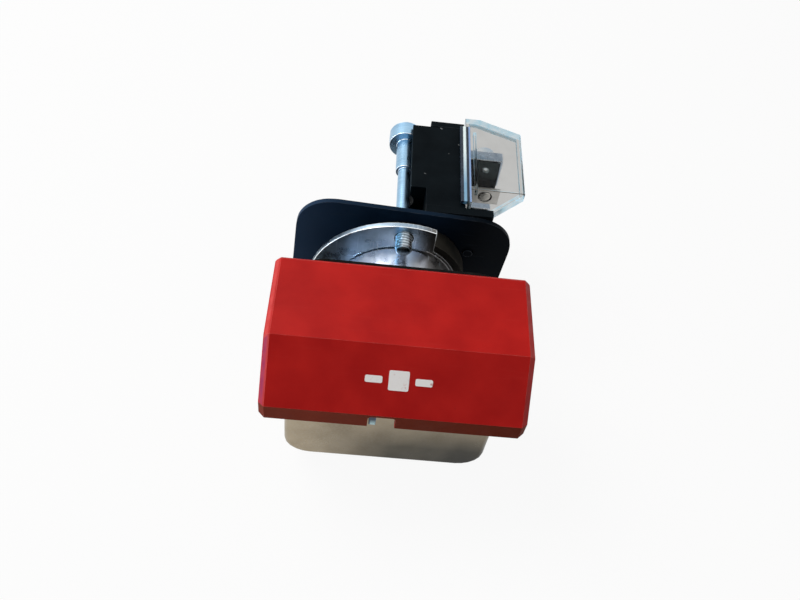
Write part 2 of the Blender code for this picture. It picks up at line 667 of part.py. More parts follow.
def make_back_plate_screws():
    """Four small screws that hold the back plate on the housing."""
    head_front = BACK_PLATE_BACK - BACK_PLATE_THICKNESS / 2 + GAP
    tip = BACK_PLATE_BACK - BACK_SCREW_LENGTH
    profile = [(0.0, tip), (BACK_SCREW_RADIUS, tip),
               (BACK_SCREW_RADIUS, head_front), (BACK_SCREW_HEAD_RADIUS, head_front),
               (BACK_SCREW_HEAD_RADIUS, BACK_PLATE_BACK), (0.0, BACK_PLATE_BACK)]
    for number, place in enumerate(back_screw_places(), 1):
        paint(turned_at(f"back_plate_screw_{number}", profile, place), ZINC)


def make_panel_gasket():
    """Flat rubber gasket that meets the panel."""
    outline = rounded_rectangle(HOUSING_WIDTH - 2 * BACK_PLATE_INSET, HOUSING_HEIGHT - 2 * BACK_PLATE_INSET,
                                HOUSING_CORNER - BACK_PLATE_INSET)
    gasket = extruded("panel_gasket", outline, "Y", GASKET_FRONT, 0.0)
    cut(gasket, cylinder("gasket_hole", TUBE_RADIUS + GAP, (GASKET_FRONT - GAP, GAP), segments=FINE))
    return paint(gasket, RUBBER)


def make_collar_tube():
    """Tube through the panel, flanged in front and grooved for the clamp."""
    inner = TUBE_RADIUS - TUBE_WALL
    flange = TUBE_RADIUS + TUBE_FLANGE
    profile = [(inner, TUBE_FRONT), (flange, TUBE_FRONT), (flange, TUBE_FLANGE_BACK),
               (TUBE_RADIUS, TUBE_FLANGE_BACK),
               (TUBE_RADIUS, GROOVE_FRONT), (GROOVE_RADIUS, GROOVE_FRONT), (GROOVE_RADIUS, GROOVE_BACK),
               (TUBE_RADIUS, GROOVE_BACK), (TUBE_RADIUS, TUBE_LENGTH), (inner, TUBE_LENGTH)]
    return paint(turned("collar_tube", profile, FINE), ZINC)


def make_guide_bush():
    """Bush in the tube that guides the stem and holds the latch spring."""
    bore = STEM_RADIUS + GAP
    body = TUBE_RADIUS - TUBE_WALL - GAP
    flange = TUBE_RADIUS
    profile = [(bore, BUSH_FRONT), (flange, BUSH_FRONT), (flange, BUSH_FLANGE_BACK), (body, BUSH_FLANGE_BACK),
               (body, BUSH_REAR), (bore, BUSH_REAR)]
    bush = turned("guide_bush", profile, FINE)
    half = STEM_GROOVE_RADIUS + 2 * GAP + LATCH_WIRE
    reach = LATCH_LEG + STEM_RADIUS + LATCH_WIRE
    recess = box("latch_recess", (-half - GAP, half + GAP),
                 (BUSH_FRONT - GAP, LATCH_Y + LATCH_WIRE / 2 + GAP), (-LATCH_LEG - GAP, reach))
    cut(bush, recess)
    return paint(bush, BLACK_PLASTIC)


def make_latch_spring():
    """Hairpin whose legs lie in the stem's groove."""
    offset = STEM_GROOVE_RADIUS + GAP + LATCH_WIRE / 2
    top = LATCH_LEG - offset
    path = [(-offset, LATCH_Y, -LATCH_LEG)]
    path += [(x, LATCH_Y, z) for x, z in arc((0.0, top), offset, 180, 0, 8)]
    path += [(offset, LATCH_Y, -LATCH_LEG)]
    return paint(wire("latch_spring", path, LATCH_WIRE), SPRING_STEEL)


def make_spring_washer():
    """Washer that closes the latch recess and seats the return spring."""
    hole = STEM_RADIUS + GAP
    profile = [(hole, WASHER_FRONT), (WASHER_RADIUS, WASHER_FRONT), (WASHER_RADIUS, WASHER_BACK),
               (hole, WASHER_BACK)]
    return paint(turned("spring_washer", profile), ZINC)


def make_return_spring():
    """Coil between the stem's collar and the washer."""
    start = COLLAR_BACK + GAP + RETURN_WIRE / 2
    stop = WASHER_FRONT - GAP - RETURN_WIRE / 2
    path = coil(RETURN_RADIUS, start, stop, RETURN_TURNS)
    print("return_spring least gap (mm):", round(least_gap(path, RETURN_WIRE) / MM, 2))
    return paint(wire("return_spring", path, RETURN_WIRE), SPRING_STEEL)


def make_clamp_ring():
    """Horseshoe that drops into the tube's groove, with its arms cut square."""
    end_angle = math.degrees(math.acos(CLAMP_END / CLAMP_RADIUS))
    outline = arc((0.0, 0.0), CLAMP_RADIUS, end_angle, 360 - end_angle, 36)
    outline += [(CLAMP_END, -CLAMP_INNER)]
    outline += arc((0.0, 0.0), CLAMP_INNER, 270, 90, 24)
    outline += [(CLAMP_END, CLAMP_INNER)]
    ring = extruded("clamp_ring", outline, "Y", CLAMP_FRONT, CLAMP_BACK)
    through = (CLAMP_FRONT - GAP, CLAMP_BACK + GAP)
    for place in set_screw_places():
        cut(ring, cylinder("set_screw_hole", SET_SCREW_RADIUS + GAP, through, place, COARSE))
    return paint(ring, ZINC)


def set_screw_places():
    """Return the (x, z) places of the two clamp screws."""
    return [(0.0, SET_SCREW_OFFSET), (0.0, -SET_SCREW_OFFSET)]


def make_clamp_set_screws():
    """Two set screws that stand forward out of the clamp."""
    edge = SET_SCREW_RADIUS / 4
    profile = [(0.0, SET_SCREW_TIP), (SET_SCREW_RADIUS - edge, SET_SCREW_TIP),
               (SET_SCREW_RADIUS, SET_SCREW_TIP + edge),
               (SET_SCREW_RADIUS, CLAMP_BACK), (0.0, CLAMP_BACK)]
    for level, place in zip(LEVELS, set_screw_places()):
        paint(turned_at(f"clamp_set_screw_{level}", profile, place), BRIGHT_STEEL)


def bayonet_tab_angles():
    """Return the angles of the ring's staked tabs, in degrees from +X."""
    return (45, 165, 285)


def make_bayonet_ring():
    """Ring that holds the carrier plate on the tube, staked through the plate."""
    front = GROOVE_BACK
    profile = [(BAYONET_INNER, front), (BAYONET_OUTER, front), (BAYONET_OUTER, TUBE_LENGTH),
               (BAYONET_INNER, TUBE_LENGTH)]
    ring = turned("bayonet_ring", profile, FINE)
    for angle in bayonet_tab_angles():
        tab = box("tab", (BAYONET_INNER + GAP, BAYONET_OUTER - GAP), (TUBE_LENGTH - GAP, PLATE_BACK + GAP),
                  (-BAYONET_TAB / 2, BAYONET_TAB / 2))
        tab.data.transform(Matrix.Rotation(-math.radians(angle), 4, "Y"))
        join(ring, tab)
    return paint(ring, GREY_PLASTIC)


def make_carrier_plate():
    """Black plate with round corners that carries the contact block."""
    plate = extruded("carrier_plate", rounded_rectangle(PLATE_WIDTH, PLATE_HEIGHT, PLATE_CORNER), "Y",
                     PLATE_FRONT, PLATE_BACK)
    plate.data.transform(Matrix.Rotation(math.radians(PLATE_TURN), 4, "Y"))
    through = (PLATE_FRONT - GAP, PLATE_BACK + GAP)
    cut(plate, cylinder("plunger_hole", PLUNGER_RADIUS + RUN, through, (PLUNGER_X, PLUNGER_Z), COARSE))
    cut(plate, cylinder("lock_hole", LOCK_RADIUS + GAP, through, (LOCK_X, LOCK_Z), COARSE))
    for z in BLOCK_SCREW_HEIGHTS:
        place = (BLOCK_SCREW_X, z)
        cut(plate, cylinder("block_screw_hole", BLOCK_SCREW_RADIUS + GAP, through, place, COARSE))
    half = BAYONET_TAB / 2 + GAP
    for angle in bayonet_tab_angles():
        slot = box("tab_slot", (BAYONET_INNER, BAYONET_OUTER), through, (-half, half))
        slot.data.transform(Matrix.Rotation(-math.radians(angle), 4, "Y"))
        cut(plate, slot)
    return paint(plate, BLACK_METAL)


def make_lock_screw():
    """Long screw beside the contact block, with a shoulder and a slotted head."""
    shoulder = LOCK_HEAD_FRONT - LOCK_SHOULDER_LENGTH
    edge = LOCK_HEAD_RADIUS / 8
    profile = [(0.0, LOCK_TIP), (LOCK_RADIUS, LOCK_TIP), (LOCK_RADIUS, shoulder),
               (LOCK_SHOULDER_RADIUS, shoulder), (LOCK_SHOULDER_RADIUS, LOCK_HEAD_FRONT),
               (LOCK_HEAD_RADIUS, LOCK_HEAD_FRONT), (LOCK_HEAD_RADIUS, LOCK_HEAD_BACK - edge),
               (LOCK_HEAD_RADIUS - edge, LOCK_HEAD_BACK), (0.0, LOCK_HEAD_BACK)]
    screw = turned_at("lock_screw", profile, (LOCK_X, LOCK_Z), MEDIUM)
    slot = box("lock_slot", (LOCK_X - LOCK_HEAD_RADIUS - GAP, LOCK_X + LOCK_HEAD_RADIUS + GAP),
               (LOCK_HEAD_BACK - LOCK_SLOT_DEPTH, LOCK_HEAD_BACK + GAP),
               (LOCK_Z - LOCK_SLOT_WIDTH / 2, LOCK_Z + LOCK_SLOT_WIDTH / 2))
    cut(screw, slot)
    return paint(screw, BRIGHT_STEEL)


def cavity_limits():
    """Return the (x, z) limits of the contact block's cavity."""
    x = (LID_LEFT + BLOCK_WALL / 2, BLOCK_RIGHT - BLOCK_WALL)
    z = (PLUNGER_Z - BRIDGE_LENGTH / 2 - BLOCK_WALL, PLUNGER_Z + BRIDGE_LENGTH / 2 + BLOCK_WALL)
    return x, z


def tower_outline():
    """Return a terminal tower's outline seen along Z, narrower at the front."""
    wide = TOWER_WIDTH / 2
    narrow = wide - TOWER_TAPER
    return [(TERMINAL_X - narrow, TOWER_FRONT), (TERMINAL_X + narrow, TOWER_FRONT),
            (TERMINAL_X + wide, TOWER_BACK), (TERMINAL_X - wide, TOWER_BACK)]


def make_contact_housing():
    """Contact block: flanged box with a cavity, a flank for the lock screw and two terminal towers."""
    length = (BLOCK_FRONT, BLOCK_BACK)
    block = box("contact_housing", (BLOCK_LEFT, BLOCK_RIGHT), length, (BLOCK_BOTTOM, BLOCK_TOP))
    join(block, box("flange", (BLOCK_LEFT, FLANGE_RIGHT), (BLOCK_FRONT, FLANGE_BACK),
                    (FLANGE_BOTTOM, FLANGE_TOP)))
    for z in BAR_HEIGHTS:
        join(block, extruded("tower", tower_outline(), "Z", z - TOWER_HEIGHT / 2, z + TOWER_HEIGHT / 2))
        join(block, box("web", (BLOCK_RIGHT - BLOCK_WALL, TERMINAL_X),
                        (TOWER_FRONT + BLOCK_WALL, TOWER_BACK - BLOCK_WALL),
                        (z - WEB_HEIGHT / 2, z + WEB_HEIGHT / 2)))
    cavity_x, cavity_z = cavity_limits()
    cut(block, box("cavity", cavity_x, (FLANGE_BACK, BLOCK_BACK + GAP), cavity_z))
    front_wall = (BLOCK_FRONT - GAP, FLANGE_BACK + GAP)
    plunger = (PLUNGER_X, PLUNGER_Z)
    cut(block, cylinder("block_plunger_hole", PLUNGER_RADIUS + RUN, front_wall, plunger, COARSE))
    flank = LOCK_SHOULDER_RADIUS + GAP
    head = LOCK_HEAD_RADIUS + GAP
    head_room = LOCK_HEAD_FRONT - GAP
    room = [(0.0, BLOCK_FRONT - GAP), (flank, BLOCK_FRONT - GAP), (flank, head_room), (head, head_room),
            (head, BLOCK_BACK + GAP), (0.0, BLOCK_BACK + GAP)]
    cut(block, turned_at("lock_room", room, (LOCK_X, LOCK_Z), MEDIUM))
    cut(block, box("pocket", (BLOCK_LEFT - GAP, BLOCK_LEFT + POCKET_WIDTH),
                   (BLOCK_FRONT - GAP, FLANGE_BACK + POCKET_LENGTH),
                   (BLOCK_TOP - POCKET_DEPTH, FLANGE_TOP + GAP)))
    slot_x = (cavity_x[1] - GAP, BLOCK_RIGHT + GAP)
    slot_y = (BAR_FRONT - GAP, BAR_BACK + GAP)
    bore = (TOWER_FRONT - GAP, TOWER_BACK + GAP)
    for z in BAR_HEIGHTS:
        cut(block, box("bar_slot", slot_x, slot_y, (z - BAR_HEIGHT / 2 - GAP, z + BAR_HEIGHT / 2 + GAP)))
        cut(block, cylinder("terminal_bore", TERMINAL_SCREW_RADIUS + GAP, bore, (TERMINAL_X, z), COARSE))
    for z in BLOCK_SCREW_HEIGHTS:
        place = (BLOCK_SCREW_X, z)
        cut(block, cylinder("flange_hole", BLOCK_SCREW_RADIUS + GAP, front_wall, place, COARSE))
    return paint(block, BLACK_PLASTIC)


def make_contact_lid():
    """Lid over the contact block's cavity, with a plug that fits inside."""
    cavity_x, cavity_z = cavity_limits()
    lid = box("contact_lid", (LID_LEFT, BLOCK_RIGHT), (LID_FRONT, LID_BACK), (BLOCK_BOTTOM, BLOCK_TOP))
    join(lid, box("lid_plug", (cavity_x[0] + GAP, cavity_x[1] - GAP),
                  (LID_FRONT - BLOCK_WALL, LID_FRONT + GAP), (cavity_z[0] + GAP, cavity_z[1] - GAP)))
    return paint(lid, BLACK_PLASTIC)


def make_block_screws():
    """Two screws that hold the block's flange on the carrier plate."""
    head_front = FLANGE_BACK + GAP
    head_back = head_front + BLOCK_SCREW_HEAD
    tip = PLATE_FRONT - BLOCK_SCREW_TIP
    profile = [(0.0, tip), (BLOCK_SCREW_RADIUS, tip), (BLOCK_SCREW_RADIUS, head_front),
               (BLOCK_SCREW_HEAD_RADIUS, head_front), (BLOCK_SCREW_HEAD_RADIUS, head_back), (0.0, head_back)]
    for level, z in zip(LEVELS, BLOCK_SCREW_HEIGHTS):
        paint(turned_at(f"block_screw_{level}", profile, (BLOCK_SCREW_X, z)), BLACK_METAL)


def make_contact_plunger():
    """Rod that the disc pushes, with a shoulder and a pin for the bridge."""
    tip = BRIDGE_BACK + PLUNGER_PIN_LENGTH
    edge = PLUNGER_RADIUS / 3
    profile = [(0.0, PLUNGER_FRONT), (PLUNGER_RADIUS - edge, PLUNGER_FRONT),
               (PLUNGER_RADIUS, PLUNGER_FRONT + edge), (PLUNGER_RADIUS, PLUNGER_SHOULDER),
               (PLUNGER_PIN_RADIUS, PLUNGER_SHOULDER), (PLUNGER_PIN_RADIUS, tip), (0.0, tip)]
    plunger = turned("contact_plunger", profile, COARSE)
    plunger.location = (PLUNGER_X, 0.0, PLUNGER_Z)
    return paint(plunger, GREY_PLASTIC)


def make_contact_bridge():
    """Moving contact strip, carried on the plunger's pin, with a dome at each end."""
    bridge = box("contact_bridge", (-BRIDGE_WIDTH / 2, BRIDGE_WIDTH / 2), (BRIDGE_FRONT, BRIDGE_BACK),
                 (-BRIDGE_LENGTH / 2, BRIDGE_LENGTH / 2))
    through = (BRIDGE_FRONT - GAP, BRIDGE_BACK + GAP)
    cut(bridge, cylinder("bridge_hole", PLUNGER_PIN_RADIUS + GAP, through, segments=COARSE))
    bridge.location = (PLUNGER_X, 0.0, PLUNGER_Z)
    CUTTERS.objects["bridge_hole"].location = bridge.location
    return paint(bridge, BRASS)


def make_contact_spring():
    """Coil between the bridge and the lid."""
    start = BRIDGE_BACK + GAP + CONTACT_WIRE / 2
    stop = LID_FRONT - BLOCK_WALL - GAP - CONTACT_WIRE / 2
    path = coil(CONTACT_RADIUS, start, stop, CONTACT_TURNS)
    print("contact_spring least gap (mm):", round(least_gap(path, CONTACT_WIRE) / MM, 2))
    spring = wire("contact_spring", path, CONTACT_WIRE)
    spring.location = (PLUNGER_X, 0.0, PLUNGER_Z)
    return paint(spring, SPRING_STEEL)


def make_fixed_contact(name, z):
    """Flat bar from the cavity to its terminal, tapped for the terminal screw."""
    bar = box(name, (BAR_LEFT, BAR_RIGHT), (BAR_FRONT, BAR_BACK), (z - BAR_HEIGHT / 2, z + BAR_HEIGHT / 2))
    cut(bar, cylinder(name + "_hole", TERMINAL_SCREW_RADIUS + GAP, (BAR_FRONT - GAP, BAR_BACK + GAP),
                      (TERMINAL_X, z), COARSE))
    return paint(bar, NICKEL)


def make_terminal_clamps():
    """Two square pressure plates under the terminal screws."""
    front = TOWER_BACK + GAP
    back = front + TERMINAL_CLAMP_THICKNESS
    half = TERMINAL_CLAMP_SIZE / 2
    through = (front - GAP, back + GAP)
    for level, z in zip(LEVELS, BAR_HEIGHTS):
        plate = box(f"terminal_clamp_{level}", (TERMINAL_X - half, TERMINAL_X + half), (front, back),
                    (z - half, z + half))
        cut(plate, cylinder("clamp_bore", TERMINAL_SCREW_RADIUS + GAP, through, (TERMINAL_X, z), COARSE))
        paint(plate, NICKEL)


def make_terminal_screws():
    """Two terminal screws, which reach through the towers to the fixed contacts."""
    head_front = TOWER_BACK + TERMINAL_CLAMP_THICKNESS + 2 * GAP
    head_back = head_front + TERMINAL_HEAD_LENGTH
    profile = [(0.0, BAR_FRONT), (TERMINAL_SCREW_RADIUS, BAR_FRONT), (TERMINAL_SCREW_RADIUS, head_front),
               (TERMINAL_HEAD_RADIUS, head_front), (TERMINAL_HEAD_RADIUS, head_back), (0.0, head_back)]
    for level, z in zip(LEVELS, BAR_HEIGHTS):
        paint(turned_at(f"terminal_screw_{level}", profile, (TERMINAL_X, z)), NICKEL)


def cover_body(name, inset, left):
    """Return the cover's outer or inner form: a shallow bent lid with a bevelled plan."""
    right = COVER_LEFT + COVER_WIDTH - inset
    front = COVER_FRONT + inset
    back = COVER_FRONT + COVER_LENGTH - inset
    high = COVER_TOP - inset
    front_width, front_depth = COVER_FRONT_BEVEL
    rear_width, rear_depth = COVER_REAR_BEVEL
    slope_length, slope_drop = COVER_SLOPE
    fold = front + slope_length
    plan = [(left, front), (right - front_width, front), (right, front + front_depth),
            (right, back - rear_depth), (right - rear_width, back), (left, back)]
    side = [(front, high - slope_drop - COVER_DEPTH), (fold, high - COVER_DEPTH), (back, high - COVER_DEPTH),
            (back, high), (fold, high), (front, high - slope_drop)]
    body = extruded(name, plan, "Z", high - slope_drop - 2 * COVER_DEPTH, high + COVER_WALL)
    combine(body, extruded(name + "_side", side, "X", left - COVER_WIDTH, right + COVER_WIDTH), "INTERSECT")
    return body


def make_terminal_cover():
    """Clear lid over the terminals, with an apron down the block's side and a rim that hooks over it."""
    cover = cover_body("terminal_cover", 0.0, COVER_LEFT)
    inside = COVER_LEFT + COVER_WALL
    length = (COVER_FRONT, BLOCK_BACK)
    rim_low = BLOCK_TOP + GAP
    apron_low = BAR_HEIGHTS[0] + TOWER_HEIGHT / 2 + GAP
    join(cover, box("cover_rim", (COVER_LEFT - COVER_RIM, inside), length,
                    (rim_low, rim_low + COVER_WALL)))
    join(cover, box("cover_apron", (COVER_LEFT, inside), length, (apron_low, rim_low + COVER_WALL / 2)))
    cut(cover, cover_body("cover_hollow", COVER_WALL, inside))
    rib = COVER_LEFT + COVER_RIB_OFFSET
    rib_length = (COVER_FRONT + COVER_SLOPE[0], BLOCK_BACK)
    join(cover, box("cover_rib", (rib, rib + COVER_RIB), rib_length,
                    (COVER_TOP - COVER_DEPTH, COVER_TOP - COVER_WALL / 2)))
    return paint(cover, CLEAR)


for old in list(bpy.data.objects):
    bpy.data.objects.remove(old)

PARTS = collection("emergency_stop_button")
CUTTERS = collection("cutters")

RED = finish("red_plastic", (0.55, 0.02, 0.02), 0.45, 0.0)
STEEL = finish("brushed_steel", (0.50, 0.47, 0.41), 0.35, 1.0)
ZINC = finish("bright_zinc", (0.72, 0.74, 0.76), 0.30, 1.0)
BRIGHT_STEEL = finish("bright_steel", (0.70, 0.73, 0.77), 0.25, 1.0)
SPRING_STEEL = finish("spring_steel", (0.55, 0.57, 0.60), 0.35, 1.0)
NICKEL = finish("nickel", (0.60, 0.63, 0.67), 0.30, 1.0)
BRASS = finish("brass", (0.70, 0.50, 0.20), 0.35, 1.0)
RUBBER = finish("black_rubber", (0.02, 0.02, 0.02), 0.80, 0.0)
BLACK_PLASTIC = finish("black_plastic", (0.02, 0.022, 0.025), 0.50, 0.0)
BLACK_METAL = finish("black_enamel", (0.015, 0.02, 0.028), 0.40, 0.0)
GREY_PLASTIC = finish("grey_plastic", (0.16, 0.15, 0.13), 0.50, 0.0)
CLEAR = finish("clear_plastic", (0.85, 0.90, 0.92), 0.10, 0.0, 0.35)

make_push_cap()
make_cap_clip()
make_slide_carriage()
make_actuator_stem()
make_pusher_disc()
make_stem_nut()
make_front_housing()
make_back_plate()
make_back_plate_screws()
make_panel_gasket()
make_collar_tube()
make_guide_bush()
make_latch_spring()
make_spring_washer()
make_return_spring()
make_clamp_ring()
make_clamp_set_screws()
make_bayonet_ring()
make_carrier_plate()
make_lock_screw()
make_contact_housing()
make_contact_lid()
make_block_screws()
make_contact_plunger()
make_contact_bridge()
make_contact_spring()
make_fixed_contact("fixed_contact_upper", BAR_HEIGHTS[0])
make_fixed_contact("fixed_contact_lower", BAR_HEIGHTS[1])
make_terminal_clamps()
make_terminal_screws()
make_terminal_cover()
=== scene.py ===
import json
import math

import bmesh
import bpy
from mathutils import Matrix, Vector

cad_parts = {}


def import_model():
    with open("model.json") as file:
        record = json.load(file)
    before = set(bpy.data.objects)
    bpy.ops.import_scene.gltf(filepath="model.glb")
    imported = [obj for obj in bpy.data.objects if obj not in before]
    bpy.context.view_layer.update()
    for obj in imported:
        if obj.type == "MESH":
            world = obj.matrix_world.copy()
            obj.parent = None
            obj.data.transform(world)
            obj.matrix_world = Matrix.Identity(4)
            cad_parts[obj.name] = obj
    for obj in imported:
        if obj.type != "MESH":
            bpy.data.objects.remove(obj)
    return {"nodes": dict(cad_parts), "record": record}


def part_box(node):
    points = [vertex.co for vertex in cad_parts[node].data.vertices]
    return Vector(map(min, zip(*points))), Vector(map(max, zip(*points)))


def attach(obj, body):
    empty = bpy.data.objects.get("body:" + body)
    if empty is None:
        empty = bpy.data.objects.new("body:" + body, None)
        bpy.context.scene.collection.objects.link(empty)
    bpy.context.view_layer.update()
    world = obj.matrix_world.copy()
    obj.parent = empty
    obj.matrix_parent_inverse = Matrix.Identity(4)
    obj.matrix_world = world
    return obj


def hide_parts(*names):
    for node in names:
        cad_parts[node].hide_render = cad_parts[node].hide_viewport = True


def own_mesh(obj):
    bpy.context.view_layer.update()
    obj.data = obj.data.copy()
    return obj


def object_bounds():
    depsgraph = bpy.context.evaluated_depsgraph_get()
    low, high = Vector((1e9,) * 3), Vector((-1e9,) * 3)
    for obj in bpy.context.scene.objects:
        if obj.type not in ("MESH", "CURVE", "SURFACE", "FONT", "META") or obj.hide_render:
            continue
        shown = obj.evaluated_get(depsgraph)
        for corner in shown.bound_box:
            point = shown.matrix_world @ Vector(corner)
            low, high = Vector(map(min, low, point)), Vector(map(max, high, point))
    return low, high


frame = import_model()
cad_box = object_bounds()

MM = 0.001
MERGE_REACH = 0.001 * MM
EDGE_WEAR = "edge_wear"
SLOT_OF = {part["node"]: part["material_slot"] for part in frame["record"]["subparts"]}

# Each CAD node, the piece that stands for it and the width of its softened edges in millimetres
SOFT_EDGES = {
    "front_housing": ("steel_cup", 0.12),
    "clamp_ring": ("horseshoe", 0.20),
    "bayonet_ring": ("bayonet", 0.15),
    "carrier_plate": ("plate", 0.22),
    "lock_screw": ("long_screw", 0.15),
    "contact_housing": ("contact_body", 0.15),
    "contact_lid": ("contact_end", 0.20),
    "terminal_clamp_upper": ("clamp_plate_upper", 0.25),
    "terminal_clamp_lower": ("clamp_plate_lower", 0.25),
    "block_screw_upper": ("flange_screw_upper", 0.15),
    "block_screw_lower": ("flange_screw_lower", 0.15),
    "housing_back_plate": ("back_plate", 0.12),
    "panel_gasket": ("gasket", 0.10),
    "back_plate_screw_1": ("back_screw_1", 0.10),
    "back_plate_screw_2": ("back_screw_2", 0.10),
    "back_plate_screw_3": ("back_screw_3", 0.10),
    "back_plate_screw_4": ("back_screw_4", 0.10),
    "slide_carriage": ("carriage", 0.15),
    "actuator_stem": ("stem", 0.08),
    "pusher_disc": ("disc", 0.15),
    "stem_nut": ("nut", 0.15),
    "guide_bush": ("bush", 0.12),
    "spring_washer": ("washer", 0.08),
    "latch_spring": ("hairpin", 0.0),
    "contact_plunger": ("plunger_rod", 0.10),
    "contact_bridge": ("bridge", 0.10),
    "collar_tube": ("collar", 0.15),
    "fixed_contact_upper": ("contact_bar_upper", 0.10),
    "fixed_contact_lower": ("contact_bar_lower", 0.10),
    "terminal_screw_upper": ("terminal_head_upper", 0.20),
    "terminal_screw_lower": ("terminal_head_lower", 0.20),
    "cap_clip": ("clip", 0.10),
}
HOOD_SOFT_EDGE = 0.28 * MM
SHROUD_SOFT_EDGE = 0.30 * MM
PLATE_CORNER = 1.0 * MM

# Angles in degrees: what counts as flat, the turn between two facets of a round corner, and hard edges
FLAT_WITHIN = 1.0
CORNER_FACET_TURN = (8.0, 30.0)
HARD_ON_CAD = 40.0
HARD_ON_NODES = 48.0
HARD_ON_RIVET = 50.0

# How far forwards and upwards a face of the hood looks to count as its sloping facet
FACET_TILT = 0.6

# Slots across the terminal screws' heads: turn of each one in degrees
SLOT_WIDTH = 0.9 * MM
SLOT_DEPTH = 1.1 * MM
SLOT_TURN = {"terminal_screw_upper": 25.0, "terminal_screw_lower": -50.0}

# Threads of the set screws
THREAD_PITCH = 0.8 * MM
THREAD_DEPTH = 0.5 * MM
THREAD_CHAMFER = 0.55 * MM
THREAD_ROWS = 76
THREAD_SIDES = 36

# Coils: how far the end turns close up, and the mesh's steps to a turn and round the wire
COIL_CLOSING = 0.11
COIL_STEPS = 28.0
COIL_SIDES = 12

# Rivet: its place beside the upper clamp plate, and its profile as heights and shares of the radius
RIVET_RADIUS = 1.05 * MM
RIVET_SIDES = 20
RIVET_LEFT = 0.45 * MM
RIVET_FORWARD = 3.75 * MM
RIVET_BELOW = 0.2 * MM
RIVET_PROFILE = ((-0.15 * MM, 1.0), (0.12 * MM, 1.0), (0.30 * MM, 0.82), (0.40 * MM, 0.5))

# Printed mark: place across, width and height of its fields, all on the hood's facet
MARK_FIELDS = ((-5.2 * MM, 3.6 * MM, 1.5 * MM), (0.0, 4.2 * MM, 4.2 * MM), (5.2 * MM, 3.6 * MM, 1.5 * MM))
MARK_RIGHT = 0.25 * MM
MARK_UP = 0.1556 * MM
MARK_CORNER = 0.35 * MM
MARK_CORNER_STEPS = 4
MARK_LIFT = 0.045 * MM
MARK_THICKNESS = 0.04 * MM

# Camera, fitted to the photograph
IMAGE_WIDTH = 800.0
LENS_PIXELS = 844.0
SENSOR_WIDTH = 36.0
CLIP_START = 5.0 * MM
CAMERA_PLACE = Vector((-11.85, -123.11, 163.74)) * MM
CAMERA_RIGHT = Vector((0.99374, 0.03499, 0.10606)).normalized()
CAMERA_DOWN = Vector((0.09253, -0.78971, -0.60646)).normalized()

# Stage, with each lamp's name, place, target, size, power and colour
FLOOR_REACH = 3.0
FLOOR_GLOW = 0.93
FLOOR_GREY = (0.62, 0.62, 0.62, 1.0)
WORLD_LIGHT = 0.22
LAMPS = (
    ("key", (-0.32, 0.16, 0.52), (0.0, 0.0, 0.0), 0.35, 3.45, (1.0, 0.97, 0.94)),
    ("fill", (0.45, -0.30, 0.30), (0.0, 0.0, 0.0), 0.40, 0.25, (1.0, 0.97, 0.93)),
    ("side", (-0.50, -0.10, 0.06), (0.0, 0.01, 0.0), 0.15, 1.2, (0.72, 0.86, 1.0)),
)


def corners(node):
    """Return the lowest and the highest corner of a CAD node."""
    low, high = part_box(node)
    return Vector(low), Vector(high)


def middle(node):
    """Return the middle of a CAD node's box."""
    low, high = corners(node)
    return (low + high) / 2


def facet():
    """Return the lowest and the highest corner of the hood's sloping front facet."""
    mesh = frame["nodes"]["push_cap"].data
    spots = [mesh.vertices[i].co for face in mesh.polygons
             if face.normal.y < -FACET_TILT and face.normal.z > FACET_TILT for i in face.vertices]
    return Vector(map(min, zip(*spots))), Vector(map(max, zip(*spots)))


def wired(tree, kind, feeds=None, **settings):
    """Add a node, set its properties and feed its inputs with sockets or plain values."""
    node = tree.nodes.new(kind)
    for key, value in settings.items():
        setattr(node, key, value)
    for key, value in (feeds or {}).items():
        if isinstance(value, bpy.types.NodeSocket):
            tree.links.new(value, node.inputs[key])
        else:
            node.inputs[key].default_value = value
    return node


def calc(tree, operation, first, second=None):
    """Return the result of one step of arithmetic."""
    feeds = {0: first}
    if second is not None:
        feeds[1] = second
    return wired(tree, "ShaderNodeMath", feeds, operation=operation).outputs["Value"]


